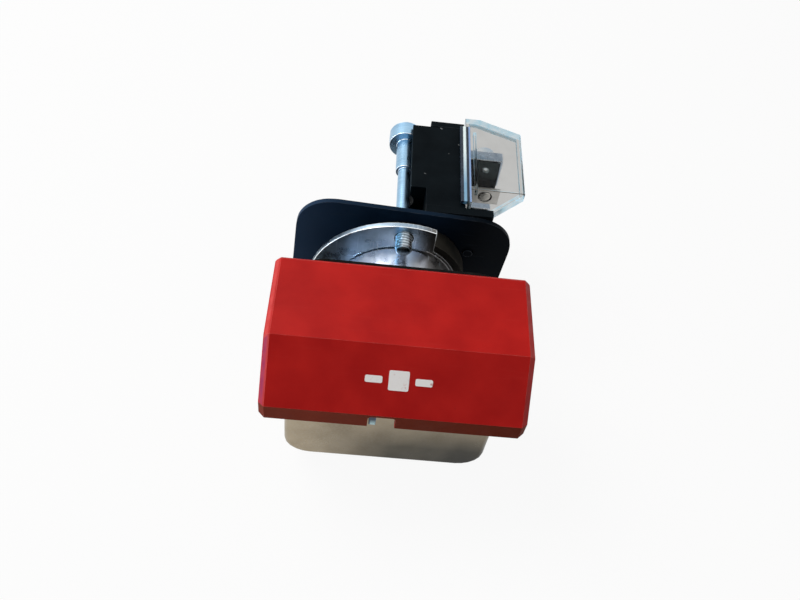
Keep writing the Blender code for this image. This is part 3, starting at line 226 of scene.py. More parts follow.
class Finish:
    """A procedural finish on one Principled shader, patterned in Object coordinates."""

    def __init__(self, name, metallic=0.0, **sockets):
        self.material = bpy.data.materials.new(name)
        self.material.use_nodes = True
        self.tree = self.material.node_tree
        self.shader = self.tree.nodes["Principled BSDF"]
        self.shader.inputs["Metallic"].default_value = metallic
        for socket, value in sockets.items():
            self.shader.inputs[socket.replace("_", " ")].default_value = value
        self.place = wired(self.tree, "ShaderNodeTexCoord").outputs["Object"]

    def noise(self, scale, detail, stretch=(1.0, 1.0, 1.0)):
        """Return a noise value; the scale counts features to the metre."""
        mapping = wired(self.tree, "ShaderNodeMapping", {"Vector": self.place, "Scale": stretch})
        feeds = {"Vector": mapping.outputs["Vector"], "Scale": scale, "Detail": detail}
        return wired(self.tree, "ShaderNodeTexNoise", feeds).outputs["Fac"]

    def span(self, value, low, high, bottom=0.0, top=1.0):
        """Return a value stretched from low..high to bottom..top and held there."""
        feeds = {"Value": value, "From Min": low, "From Max": high, "To Min": bottom, "To Max": top}
        return wired(self.tree, "ShaderNodeMapRange", feeds).outputs["Result"]

    def patches(self, scale, detail, low=0.35, high=0.68, bottom=0.0, top=1.0, stretch=(1.0, 1.0, 1.0)):
        """Return noise stretched from low..high to bottom..top; a narrow high range gives specks."""
        return self.span(self.noise(scale, detail, stretch), low, high, bottom, top)

    def along(self, axis):
        """Return the place along one axis, in metres."""
        return wired(self.tree, "ShaderNodeSeparateXYZ", {"Vector": self.place}).outputs[axis]

    def ramp(self, axis, start, end, bottom=0.0, top=1.0):
        """Return a value that goes from bottom to top between two places on an axis."""
        return self.span(self.along(axis), start, end, bottom, top)

    def times(self, *values):
        """Return the product of several values."""
        product = values[0]
        for value in values[1:]:
            product = calc(self.tree, "MULTIPLY", product, value)
        return product

    def distance(self, first, second):
        """Return how far a spot lies from an axis, given its two places across that axis."""
        squares = calc(self.tree, "ADD", self.times(first, first), self.times(second, second))
        return calc(self.tree, "SQRT", squares)

    def worn_edge(self):
        """Return 1 on the softened edges of a piece and 0 on its faces."""
        return wired(self.tree, "ShaderNodeAttribute", attribute_name=EDGE_WEAR).outputs["Fac"]

    def wear(self, scale, detail, low, high, least, most=1.0):
        """Return patchy wear between least and most on the softened edges, and 0 on the faces."""
        return self.times(self.worn_edge(), self.patches(scale, detail, low, high, least, most))

    def mix(self, value, first, second):
        """Return a colour between two colours."""
        node = wired(self.tree, "ShaderNodeMix", {"Factor": value}, data_type="RGBA")
        for socket, colour in (("A", first), ("B", second)):
            target = [s for s in node.inputs if s.name == socket and s.type == "RGBA"][0]
            if isinstance(colour, tuple):
                target.default_value = (*colour, 1.0)
            else:
                self.tree.links.new(colour, target)
        return [s for s in node.outputs if s.type == "RGBA"][0]

    def colour(self, value):
        """Set the base colour."""
        self.tree.links.new(value, self.shader.inputs["Base Color"])

    def gloss(self, scale, detail, smooth, dull, low=0.3, high=0.7):
        """Set a roughness that goes from smooth to dull in patches."""
        roughness = self.patches(scale, detail, low, high, smooth, dull)
        self.tree.links.new(roughness, self.shader.inputs["Roughness"])

    def relief(self, value, height, strength):
        """Set a fine relief of a height in metres."""
        node = wired(self.tree, "ShaderNodeBump", {"Height": value, "Distance": height, "Strength": strength})
        self.tree.links.new(node.outputs["Normal"], self.shader.inputs["Normal"])


def hood_red():
    """Satin red moulding, mottled and scuffed, with a painted pinkish highlight and a painted bluish sheen on
    its left chamfer, and worn pale along its edges.
    """
    finish = Finish("hood_red", Specular_IOR_Level=0.12)
    left = corners("push_cap")[0].x
    facet_low, facet_high = facet()
    red = finish.mix(finish.patches(120.0, 5.0), (0.370, 0.0060, 0.0050), (0.460, 0.0105, 0.0080))
    scuff = finish.patches(60.0, 4.0, low=0.62, high=0.74, top=0.10, stretch=(1.0, 22.0, 22.0))
    red = finish.mix(scuff, red, (0.50, 0.045, 0.035))
    speck = finish.patches(1500.0, 2.0, low=0.73, high=0.78, top=0.35)
    red = finish.mix(speck, red, (0.16, 0.010, 0.010))
    # Painted highlight on the left chamfer above the skirt: lighter pink in patches, and purple beside the
    # facet as a painted bluish sheen.
    chamfer = finish.times(finish.ramp("X", left + 0.05 * MM, left + 0.25 * MM),
                           finish.ramp("X", left + 0.75 * MM, left + 1.15 * MM, bottom=1.0, top=0.0))
    above_skirt = finish.ramp("Z", facet_low.z - 0.4 * MM, facet_low.z)
    left_chamfer_highlight = finish.times(chamfer, above_skirt, finish.patches(520.0, 4.0, low=0.30, high=0.60, bottom=0.55))
    red = finish.mix(left_chamfer_highlight, red, (0.53, 0.050, 0.046))
    beside_facet = finish.ramp("Y", facet_high.y - 0.3 * MM, facet_high.y + 0.1 * MM, bottom=1.0, top=0.0)
    red = finish.mix(finish.times(left_chamfer_highlight, beside_facet), red, (0.30, 0.013, 0.064))
    wear = finish.wear(420.0, 4.0, low=0.34, high=0.58, least=0.40)
    finish.colour(finish.mix(wear, red, (0.74, 0.185, 0.160)))
    finish.gloss(260.0, 4.0, smooth=0.36, dull=0.52)
    finish.relief(finish.noise(2600.0, 3.0), height=0.02 * MM, strength=0.35)
    return finish.material


def skirt_painted_shade():
    """Darker brown copy of the red moulding for the front skirt, as painted shade, and darker still to the
    right.
    """
    finish = Finish("skirt_painted_shade", Specular_IOR_Level=0.02)
    # Painted shade: dark brown red, darker to the right, with random mottle and specks.
    skirt_shade_right = finish.ramp("X", -22.0 * MM, 22.0 * MM)
    brown = finish.mix(skirt_shade_right, (0.235, 0.041, 0.023), (0.140, 0.021, 0.009))
    mottle = finish.patches(90.0, 4.0, low=0.30, high=0.65, top=0.25)
    brown = finish.mix(mottle, brown, (0.100, 0.026, 0.015))
    speck = finish.patches(1500.0, 2.0, low=0.73, high=0.78, top=0.35)
    finish.colour(finish.mix(speck, brown, (0.050, 0.012, 0.008)))
    finish.gloss(260.0, 4.0, smooth=0.50, dull=0.66)
    finish.relief(finish.noise(2600.0, 3.0), height=0.02 * MM, strength=0.35)
    return finish.material


def drawn_steel():
    """Warm drawn steel with fine draw lines, and painted shade that darkens it downwards and to the right,
    near black in its lower right corner.
    """
    finish = Finish("drawn_steel", 1.0)
    foot = corners("front_housing")[0].z
    tarnish = finish.patches(95.0, 5.0, low=0.36, high=0.66)
    metal = finish.mix(tarnish, (0.400, 0.330, 0.228), (0.290, 0.232, 0.152))
    lines = finish.noise(60.0, 3.0, (30.0, 1.0, 30.0))
    metal = finish.mix(finish.span(lines, low=0.4, high=0.7, top=0.35), metal, (0.40, 0.36, 0.29))
    # Painted shade: dark brown in patches towards the foot and to the right, and near black in the lower
    # right corner.
    low = finish.ramp("Z", foot + 7.0 * MM, foot + 23.0 * MM, bottom=1.0, top=0.1)
    side = finish.ramp("X", -19.0 * MM, 1.0 * MM, bottom=0.10)
    brown = finish.times(low, side, finish.patches(70.0, 4.0, low=0.25, high=0.60, bottom=0.80))
    metal = finish.mix(brown, metal, (0.042, 0.037, 0.025))
    corner = finish.times(finish.ramp("Z", foot + 2.0 * MM, foot + 14.0 * MM, bottom=0.8, top=0.0),
                          finish.ramp("X", 2.0 * MM, 20.0 * MM))
    metal = finish.mix(corner, metal, (0.012, 0.012, 0.010))
    wear = finish.wear(300.0, 3.0, low=0.35, high=0.6, least=0.15, most=0.6)
    finish.colour(finish.mix(wear, metal, (0.60, 0.57, 0.50)))
    finish.gloss(180.0, 4.0, smooth=0.26, dull=0.42)
    finish.relief(lines, height=0.01 * MM, strength=0.25)
    return finish.material


def zinc_plate(name, dull, clean):
    """Zinc plate: satin, with painted shade to the right, and pale edge wear kept only to the left and on the
    clamp's rim as painted highlight.
    """
    finish = Finish(name, 1.0)
    metal = finish.mix(finish.patches(230.0, 5.0), dull, clean)
    # Painted shade: darker to the right.
    stain_and_shade = finish.ramp("X", 1.5 * MM, 6.5 * MM, top=0.92)
    metal = finish.mix(stain_and_shade, metal, (0.135, 0.122, 0.108))
    scratch = finish.patches(140.0, 3.0, low=0.62, high=0.72, top=0.5, stretch=(14.0, 2.0, 1.0))
    metal = finish.mix(scratch, metal, (0.62, 0.71, 0.80))
    # Painted highlight: the pale edge wear is kept only to the left and on the clamp's rim, where the light
    # falls.
    left_highlight = finish.ramp("X", 2.0 * MM, 6.0 * MM, bottom=1.0, top=0.12)
    rim_highlight = finish.ramp("Z", 17.5 * MM, 19.5 * MM)
    highlight_edges = calc(finish.tree, "MAXIMUM", left_highlight, rim_highlight)
    wear = finish.times(finish.wear(500.0, 3.0, low=0.2, high=0.5, least=0.55), highlight_edges)
    finish.colour(finish.mix(wear, metal, (0.90, 0.95, 0.98)))
    finish.gloss(420.0, 4.0, smooth=0.22, dull=0.40)
    finish.relief(finish.noise(1800.0, 3.0), height=0.008 * MM, strength=0.3)
    return finish.material


def turned_steel():
    """Bright plated steel with turning marks round its axis."""
    finish = Finish("turned_steel", 1.0)
    marks = finish.noise(320.0, 2.0, (0.4, 9.0, 0.4))
    metal = finish.mix(finish.span(marks, low=0.30, high=0.70), (0.27, 0.46, 0.65), (0.37, 0.57, 0.74))
    wear = finish.wear(600.0, 2.0, low=0.3, high=0.6, least=0.4)
    finish.colour(finish.mix(wear, metal, (0.90, 0.94, 0.98)))
    finish.gloss(300.0, 3.0, smooth=0.26, dull=0.40)
    finish.relief(marks, height=0.004 * MM, strength=0.2)
    return finish.material


def spring_wire():
    """Drawn spring steel, cloudy grey."""
    finish = Finish("spring_wire", 1.0)
    cloud = finish.patches(500.0, 4.0, low=0.35, high=0.65)
    finish.colour(finish.mix(cloud, (0.42, 0.42, 0.42), (0.60, 0.60, 0.61)))
    finish.gloss(700.0, 3.0, smooth=0.26, dull=0.42)
    return finish.material


def nickel_plate():
    """Nickel on the terminals, cool grey with faint stains."""
    finish = Finish("nickel_plate", 1.0)
    metal = finish.mix(finish.patches(420.0, 4.0), (0.34, 0.42, 0.52), (0.50, 0.59, 0.70))
    wear = finish.wear(700.0, 2.0, low=0.3, high=0.6, least=0.4)
    finish.colour(finish.mix(wear, metal, (0.86, 0.90, 0.95)))
    finish.gloss(380.0, 3.0, smooth=0.20, dull=0.36)
    return finish.material


def tinned_strip():
    """Bright tin on the fixed contact bars, dulled in patches."""
    finish = Finish("tinned_strip", 1.0)
    metal = finish.mix(finish.patches(380.0, 4.0), (0.93, 0.91, 0.88), (0.80, 0.78, 0.75))
    finish.colour(finish.mix(finish.worn_edge(), metal, (0.95, 0.94, 0.92)))
    finish.gloss(420.0, 3.0, smooth=0.34, dull=0.50)
    return finish.material


def contact_brass():
    """Brass strip, slightly browned."""
    finish = Finish("contact_brass", 1.0)
    finish.colour(finish.mix(finish.patches(520.0, 4.0), (0.70, 0.50, 0.20), (0.48, 0.32, 0.13)))
    finish.gloss(380.0, 3.0, smooth=0.26, dull=0.42)
    return finish.material


def gasket_rubber():
    """Dull black rubber with a faint bloom."""
    finish = Finish("gasket_rubber", Specular_IOR_Level=0.06)
    bloom = finish.patches(350.0, 5.0, low=0.45, high=0.75)
    finish.colour(finish.mix(bloom, (0.0035, 0.0035, 0.0036), (0.0120, 0.0115, 0.0110)))
    finish.gloss(260.0, 3.0, smooth=0.68, dull=0.86)
    finish.relief(finish.noise(2200.0, 3.0), height=0.02 * MM, strength=0.3)
    return finish.material


def block_black():
    """Black moulding with a fine grain and a few dust specks, greyer on the terminal towers."""
    finish = Finish("block_black", Specular_IOR_Level=0.025)
    side = corners("contact_lid")[1].x
    bar = corners("fixed_contact_upper")[1].y
    black = finish.mix(finish.patches(160.0, 5.0), (0.0014, 0.0030, 0.0044), (0.0036, 0.0062, 0.0082))
    black = finish.mix(finish.patches(520.0, 1.0, low=0.765, high=0.80, top=0.55), black, (0.30, 0.32, 0.33))
    tower = finish.times(finish.ramp("X", side + 0.5 * MM, side + 3.0 * MM),
                         finish.ramp("Y", bar + 0.5 * MM, bar + 3.1 * MM))
    black = finish.mix(tower, black, (0.040, 0.056, 0.060))
    wear = finish.wear(480.0, 3.0, low=0.4, high=0.65, least=0.05, most=0.6)
    finish.colour(finish.mix(wear, black, (0.034, 0.040, 0.046)))
    finish.gloss(300.0, 4.0, smooth=0.38, dull=0.56)
    finish.relief(finish.noise(2800.0, 2.0), height=0.02 * MM, strength=0.3)
    return finish.material


def plate_enamel():
    """Stove enamel, blue-black, with a painted bluish sheen to the left and painted shade to the right, worn
    to grey along the plate's edge.
    """
    finish = Finish("plate_enamel", Specular_IOR_Level=0.022)
    black = finish.mix(finish.patches(90.0, 5.0), (0.0042, 0.0112, 0.0235), (0.0078, 0.0192, 0.0390))
    # Painted bluish sheen to the left and painted shade to the right.
    blue = finish.ramp("X", -26.0 * MM, -8.0 * MM, bottom=0.8, top=0.0)
    black = finish.mix(blue, black, (0.022, 0.046, 0.090))
    plate_shade_right = finish.ramp("X", 4.0 * MM, 18.0 * MM, top=0.85)
    black = finish.mix(plate_shade_right, black, (0.001, 0.002, 0.003))
    scuff = finish.patches(110.0, 4.0, low=0.64, high=0.74, top=0.20, stretch=(1.0, 1.0, 9.0))
    black = finish.mix(scuff, black, (0.030, 0.038, 0.050))
    wear = finish.wear(520.0, 4.0, low=0.40, high=0.66, least=0.10, most=0.80)
    finish.colour(finish.mix(wear, black, (0.090, 0.105, 0.125)))
    finish.gloss(240.0, 4.0, smooth=0.34, dull=0.50)
    finish.relief(finish.noise(1500.0, 2.0), height=0.015 * MM, strength=0.3)
    return finish.material


def ring_grey():
    """Grey-brown moulding of the ring and the plunger."""
    finish = Finish("ring_grey", Specular_IOR_Level=0.08)
    grey = finish.mix(finish.patches(210.0, 4.0), (0.010, 0.010, 0.009), (0.024, 0.022, 0.018))
    wear = finish.wear(500.0, 3.0, low=0.4, high=0.65, least=0.1, most=0.7)
    finish.colour(finish.mix(wear, grey, (0.105, 0.098, 0.085)))
    finish.gloss(260.0, 3.0, smooth=0.42, dull=0.58)
    return finish.material


def clear_shroud():
    """Clear moulded plastic with a grey cast, faintly hazed by handling."""
    finish = Finish("clear_shroud", Transmission_Weight=1.0, IOR=1.15, Specular_IOR_Level=0.5)
    haze = finish.patches(170.0, 4.0, low=0.35, high=0.70)
    finish.colour(finish.mix(haze, (0.540, 0.540, 0.530), (0.480, 0.480, 0.470)))
    finish.gloss(240.0, 4.0, smooth=0.02, dull=0.10, low=0.45, high=0.75)
    return finish.material


def shroud_edge():
    """Clear blue-white walls and edges of the plastic, which gather light."""
    finish = Finish("shroud_edge", Transmission_Weight=1.0, IOR=1.10, Specular_IOR_Level=0.5)
    finish.colour(finish.mix(finish.patches(420.0, 3.0), (0.34, 0.71, 0.95), (0.74, 0.91, 1.0)))
    finish.gloss(500.0, 3.0, smooth=0.28, dull=0.42)
    return finish.material


def shroud_fold_shade():
    """Painted dark line of shade along the fold of the clear plastic."""
    finish = Finish("shroud_fold_shade", Specular_IOR_Level=0.1)
    finish.colour(finish.mix(finish.patches(300.0, 3.0), (0.100, 0.090, 0.080), (0.200, 0.180, 0.160)))
    finish.gloss(500.0, 3.0, smooth=0.40, dull=0.55)
    return finish.material


def shroud_rim():
    """Painted bands of highlight and shade that run along the rim of the clear plastic."""
    finish = Finish("shroud_rim", Specular_IOR_Level=0.25)
    low = corners("terminal_cover")[0]
    # Painted shade in dark blue-grey, crossed by painted highlight bands that are bluer towards the front,
    # and a blue line.
    rim_shade_and_highlight = finish.mix(finish.patches(260.0, 3.0), (0.012, 0.020, 0.032), (0.030, 0.044, 0.070))
    back = finish.ramp("Y", low.y + 5.9 * MM, low.y + 17.9 * MM)
    light = finish.mix(back, (0.22, 0.42, 0.60), (0.80, 0.93, 0.94))
    highlight_band = finish.times(finish.ramp("X", low.x + 0.65 * MM, low.x + 0.80 * MM),
                        finish.ramp("X", low.x + 1.35 * MM, low.x + 1.55 * MM, bottom=1.0, top=0.0))
    rim_shade_and_highlight = finish.mix(highlight_band, rim_shade_and_highlight, light)
    line = finish.ramp("X", low.x + 2.05 * MM, low.x + 2.20 * MM)
    finish.colour(finish.mix(line, rim_shade_and_highlight, (0.26, 0.40, 0.68)))
    finish.gloss(500.0, 3.0, smooth=0.22, dull=0.36)
    return finish.material


def thread_steel(radius, offset):
    """Steel of the set screws, with a painted bluish sheen to the left, painted shade to the right, and
    darker grooves in patches.
    """
    finish = Finish("thread_steel", 1.0)
    upright = calc(finish.tree, "SUBTRACT", calc(finish.tree, "ABSOLUTE", finish.along("Z")), offset)
    reach = finish.distance(finish.along("X"), upright)
    groove = finish.span(reach, low=radius - THREAD_DEPTH, high=radius - 0.25 * THREAD_DEPTH,
                         bottom=1.0, top=0.0)
    metal = finish.mix(finish.patches(520.0, 3.0), (0.42, 0.50, 0.56), (0.66, 0.74, 0.80))
    # Painted bluish sheen to the left and painted shade to the right.
    metal = finish.mix(finish.ramp("X", -1.1 * MM, -0.3 * MM, bottom=0.8, top=0.0), metal, (0.16, 0.46, 0.72))
    metal = finish.mix(finish.ramp("X", 0.2 * MM, 1.2 * MM, top=0.85), metal, (0.050, 0.055, 0.060))
    # Darker in the grooves, in patches.
    darker_grooves = finish.times(groove, finish.patches(800.0, 2.0, low=0.3, high=0.6, bottom=0.75))
    finish.colour(finish.mix(darker_grooves, metal, (0.030, 0.045, 0.060)))
    finish.gloss(600.0, 3.0, smooth=0.22, dull=0.36)
    return finish.material


def clip_steel():
    """Dark spring steel tongue, mottled, with painted shade at its root and its left edge, so that it is
    lighter towards its tip.
    """
    finish = Finish("clip_steel", 1.0)
    low = corners("cap_clip")[0]
    stain_and_shade = finish.patches(480.0, 4.0, low=0.35, high=0.66)
    metal = finish.mix(stain_and_shade, (0.020, 0.028, 0.045), (0.040, 0.052, 0.075))
    # Painted shade at the root and the left edge; the lighter colour shows only towards the tip.
    bright = finish.times(finish.ramp("Z", low.z + 0.3 * MM, low.z + 2.1 * MM, bottom=1.0, top=0.0),
                          finish.ramp("X", low.x + 0.15 * MM, low.x + 0.45 * MM))
    metal = finish.mix(bright, metal, (0.32, 0.46, 0.48))
    finish.colour(finish.mix(finish.worn_edge(), metal, (0.06, 0.09, 0.14)))
    finish.gloss(500.0, 3.0, smooth=0.24, dull=0.38)
    return finish.material


def screw_bright():
    """Polished nickel of the terminal screws, with warm grey tips."""
    finish = Finish("screw_bright", 1.0)
    front = corners("terminal_screw_upper")[0].y
    metal = finish.mix(finish.patches(420.0, 4.0), (0.66, 0.80, 0.94), (0.90, 0.95, 0.99))
    metal = finish.mix(finish.worn_edge(), metal, (0.95, 0.97, 1.0))
    tip = finish.ramp("Y", front + 0.9 * MM, front + 1.5 * MM, bottom=1.0, top=0.0)
    finish.colour(finish.mix(tip, metal, (0.660, 0.640, 0.600)))
    finish.gloss(380.0, 3.0, smooth=0.16, dull=0.30)
    return finish.material


def rivet_steel(centre):
    """Rivet with a painted highlight on the top of its dome and a dull grey flank."""
    finish = Finish("rivet_steel", 1.0)
    reach = finish.distance(calc(finish.tree, "SUBTRACT", finish.along("X"), centre.x),
                            calc(finish.tree, "SUBTRACT", finish.along("Y"), centre.y))
    # Painted highlight: near white on the top of the dome, giving way to the grey flank.
    crown_highlight = finish.span(reach, low=0.40 * MM, high=0.75 * MM, bottom=1.0, top=0.0)
    flank = finish.mix(finish.patches(520.0, 3.0), (0.130, 0.170, 0.175), (0.190, 0.235, 0.240))
    finish.colour(finish.mix(crown_highlight, flank, (0.97, 0.99, 1.0)))
    finish.gloss(600.0, 3.0, smooth=0.20, dull=0.34)
    return finish.material


def printed_white():
    """White ink, thin and chipped."""
    finish = Finish("printed_white", Specular_IOR_Level=0.35)
    thin = finish.patches(900.0, 4.0, low=0.63, high=0.76, top=0.7)
    finish.colour(finish.mix(thin, (0.90, 0.88, 0.86), (0.52, 0.12, 0.10)))
    finish.gloss(500.0, 3.0, smooth=0.45, dull=0.62)
    return finish.material


def finishes_of_nodes():
    """Return the finishes of the nodes that do not have the usual one of their slot."""
    tin, bright = tinned_strip(), screw_bright()
    return {
        "collar_tube": zinc_plate("tube_zinc", (0.60, 0.68, 0.86), (0.84, 0.90, 1.0)),
        "fixed_contact_upper": tin,
        "fixed_contact_lower": tin,
        "terminal_screw_upper": bright,
        "terminal_screw_lower": bright,
        "cap_clip": clip_steel(),
    }


FINISH_OF_SLOT = {
    "red_plastic": hood_red(),
    "brushed_steel": drawn_steel(),
    "bright_zinc": zinc_plate("clamp_zinc", (0.25, 0.34, 0.43), (0.41, 0.52, 0.63)),
    "bright_steel": turned_steel(),
    "spring_steel": spring_wire(),
    "nickel": nickel_plate(),
    "brass": contact_brass(),
    "black_rubber": gasket_rubber(),
    "black_plastic": block_black(),
    "black_enamel": plate_enamel(),
    "grey_plastic": ring_grey(),
    "clear_plastic": clear_shroud(),
}
FINISH_OF_NODE = finishes_of_nodes()


def body_of(node):
    """Return the name of the body that a CAD node belongs to."""
    bodies = frame["record"]["behaviour"]["bodies"]
    return [name for name, members in bodies.items() if node in members][0]


def linked(name, data):
    """Return a new object for a mesh, a lamp or a camera, linked to the scene."""
    obj = bpy.data.objects.new(name, data)
    bpy.context.scene.collection.objects.link(obj)
    return obj


def settled(obj):
    """Apply an object's modifiers and leave a plain mesh behind."""
    depsgraph = bpy.context.evaluated_depsgraph_get()
    mesh = bpy.data.meshes.new_from_object(obj.evaluated_get(depsgraph))
    obj.modifiers.clear()
    old = obj.data
    obj.data = mesh
    bpy.data.meshes.remove(old)


def shaded(mesh, angle):
    """Shade a mesh smooth, with hard edges where it turns by more than an angle in degrees."""
    mesh.shade_smooth()
    mesh.set_sharp_from_angle(angle=math.radians(angle))


def finished_mesh(bm, name):
    """Return a new mesh with the result of an edit, which ends."""
    mesh = bpy.data.meshes.new(name)
    bm.to_mesh(mesh)
    bm.free()
    return mesh


def stands_for(piece, *nodes):
    """Let a piece replace CAD nodes and ride on their body."""
    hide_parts(*nodes)
    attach(piece, body_of(nodes[0]))


def merged(node):
    """Return a merged copy of a CAD node's mesh, as a mesh under edit."""
    bm = bmesh.new()
    bm.from_mesh(frame["nodes"][node].data)
    bmesh.ops.remove_doubles(bm, verts=bm.verts, dist=MERGE_REACH)
    return bm


def rounded(bm, reach):
    """Round off the facets of the corners that run along Y."""
    least, most = CORNER_FACET_TURN
    facets = []
    for edge in bm.edges:
        first, second = edge.verts
        along_y = abs((first.co - second.co).normalized().y) > 0.99
        if along_y and len(edge.link_faces) == 2:
            if least < math.degrees(edge.calc_face_angle_signed()) < most:
                facets.append(edge)
    bmesh.ops.bevel(bm, geom=facets, offset=reach, segments=3, profile=0.5, affect="EDGES",
                    clamp_overlap=True)


def slotted(node, turn):
    """Return a merged copy of a screw's mesh with a driver slot cut across the back of its head."""
    blank = linked("screw_blank", finished_mesh(merged(node), "screw_blank"))
    low, high = corners(node)
    centre = middle(node)
    size = Matrix.Diagonal((2 * (high.x - low.x), 2 * SLOT_DEPTH, SLOT_WIDTH, 1.0))
    place = Matrix.Translation((centre.x, high.y, centre.z)) @ Matrix.Rotation(math.radians(turn), 4, "Y")
    bm = bmesh.new()
    bmesh.ops.create_cube(bm, size=1.0, matrix=place @ size)
    cutter = linked("slot_cutter", finished_mesh(bm, "slot_cutter"))
    modifier = blank.modifiers.new("slot", "BOOLEAN")
    modifier.operation = "DIFFERENCE"
    modifier.solver = "EXACT"
    modifier.object = cutter
    bpy.context.view_layer.update()
    settled(blank)
    bm = bmesh.new()
    bm.from_mesh(blank.data)
    for spare in (blank, cutter):
        mesh = spare.data
        bpy.data.objects.remove(spare)
        bpy.data.meshes.remove(mesh)
    return bm


def softened(node, name, edge, angle=30.0):
    """Replace a CAD node with a merged copy whose sharp edges are softened and marked for wear."""
    bm = slotted(node, SLOT_TURN[node]) if node in SLOT_TURN else merged(node)
    bmesh.ops.dissolve_limit(bm, angle_limit=math.radians(FLAT_WITHIN), verts=bm.verts, edges=bm.edges)
    if node == "carrier_plate":
        rounded(bm, PLATE_CORNER)
    wear = bm.faces.layers.float.new(EDGE_WEAR)
    if edge > 0:
        sharp = [e for e in bm.edges
                 if len(e.link_faces) == 2 and e.calc_face_angle() > math.radians(angle)]
        made = bmesh.ops.bevel(bm, geom=sharp, offset=edge, segments=2, profile=0.6, affect="EDGES",
                               clamp_overlap=True)
        for face in made["faces"]:
            face[wear] = 1.0
    mesh = finished_mesh(bm, name)
    shaded(mesh, HARD_ON_CAD)
    piece = linked(name, mesh)
    weight = piece.modifiers.new("flat_faces", "WEIGHTED_NORMAL")
    weight.keep_sharp = True
    settled(piece)
    piece.data.materials.clear()
    piece.data.materials.append(FINISH_OF_NODE.get(node, FINISH_OF_SLOT[SLOT_OF[node]]))
    stands_for(piece, node)
    return piece


def new_tree(name, sockets):
    """Return a geometry node tree with named inputs, the sockets that they feed, and its output node."""
    tree = bpy.data.node_groups.new(name, "GeometryNodeTree")
    for label, kind in sockets.items():
        tree.interface.new_socket(label, in_out="INPUT", socket_type="NodeSocket" + kind)
    tree.interface.new_socket("Geometry", in_out="OUTPUT", socket_type="NodeSocketGeometry")
    return tree, tree.nodes.new("NodeGroupInput").outputs, tree.nodes.new("NodeGroupOutput")


def ended(tree, geometry, finish, result):
    """End a tree: make its instances real and give them their finish."""
    real = wired(tree, "GeometryNodeRealizeInstances", {"Geometry": geometry})
    feeds = {"Geometry": real.outputs["Geometry"], "Material": finish}
    painted = wired(tree, "GeometryNodeSetMaterial", feeds)
    tree.links.new(painted.outputs["Geometry"], result.inputs["Geometry"])


def thread_tree():
    """Row of equal threaded pins along Y: a swept circle whose radius follows a thread."""
    tree, given, result = new_tree("thread_tree", {
        "Radius": "Float", "Length": "Float", "Pitch": "Float", "Depth": "Float", "Chamfer": "Float",
        "Rows": "Int", "Count": "Int", "Start": "Vector", "Step": "Vector", "Finish": "Material"})
    tip = wired(tree, "ShaderNodeCombineXYZ", {"Y": given["Length"]})
    line = wired(tree, "GeometryNodeCurvePrimitiveLine", {"End": tip.outputs["Vector"]})
    rows = wired(tree, "GeometryNodeResampleCurve", {"Curve": line.outputs["Curve"], "Count": given["Rows"]})
    ring = wired(tree, "GeometryNodeCurvePrimitiveCircle",
                 {"Resolution": THREAD_SIDES, "Radius": given["Radius"]})
    pin = wired(tree, "GeometryNodeCurveToMesh", {
        "Curve": rows.outputs["Curve"], "Profile Curve": ring.outputs["Curve"], "Fill Caps": True})
    position = wired(tree, "GeometryNodeInputPosition").outputs["Position"]
    place = wired(tree, "ShaderNodeSeparateXYZ", {"Vector": position}).outputs
    turn = calc(tree, "DIVIDE", calc(tree, "ARCTAN2", place["X"], place["Z"]), 2 * math.pi)
    phase = calc(tree, "FRACT", calc(tree, "ADD", calc(tree, "DIVIDE", place["Y"], given["Pitch"]), turn))
    flank = calc(tree, "MULTIPLY", calc(tree, "PINGPONG", phase, 0.5), 2.0)
    thread = calc(tree, "SUBTRACT", given["Radius"], calc(tree, "MULTIPLY", flank, given["Depth"]))
    end = calc(tree, "MINIMUM", place["Y"], calc(tree, "SUBTRACT", given["Length"], place["Y"]))
    nib = calc(tree, "ADD", end, calc(tree, "SUBTRACT", given["Radius"], given["Chamfer"]))
    share = calc(tree, "DIVIDE", calc(tree, "MINIMUM", thread, nib), given["Radius"])
    moved = wired(tree, "ShaderNodeCombineXYZ", {
        "X": calc(tree, "MULTIPLY", place["X"], share),
        "Y": place["Y"],
        "Z": calc(tree, "MULTIPLY", place["Z"], share)})
    cut = wired(tree, "GeometryNodeSetPosition",
                {"Geometry": pin.outputs["Mesh"], "Position": moved.outputs["Vector"]})
    row = wired(tree, "GeometryNodeMeshLine",
                {"Count": given["Count"], "Start Location": given["Start"], "Offset": given["Step"]})
    spread = wired(tree, "GeometryNodeInstanceOnPoints",
                   {"Points": row.outputs["Mesh"], "Instance": cut.outputs["Geometry"]})
    ended(tree, spread.outputs["Instances"], given["Finish"], result)
    return tree


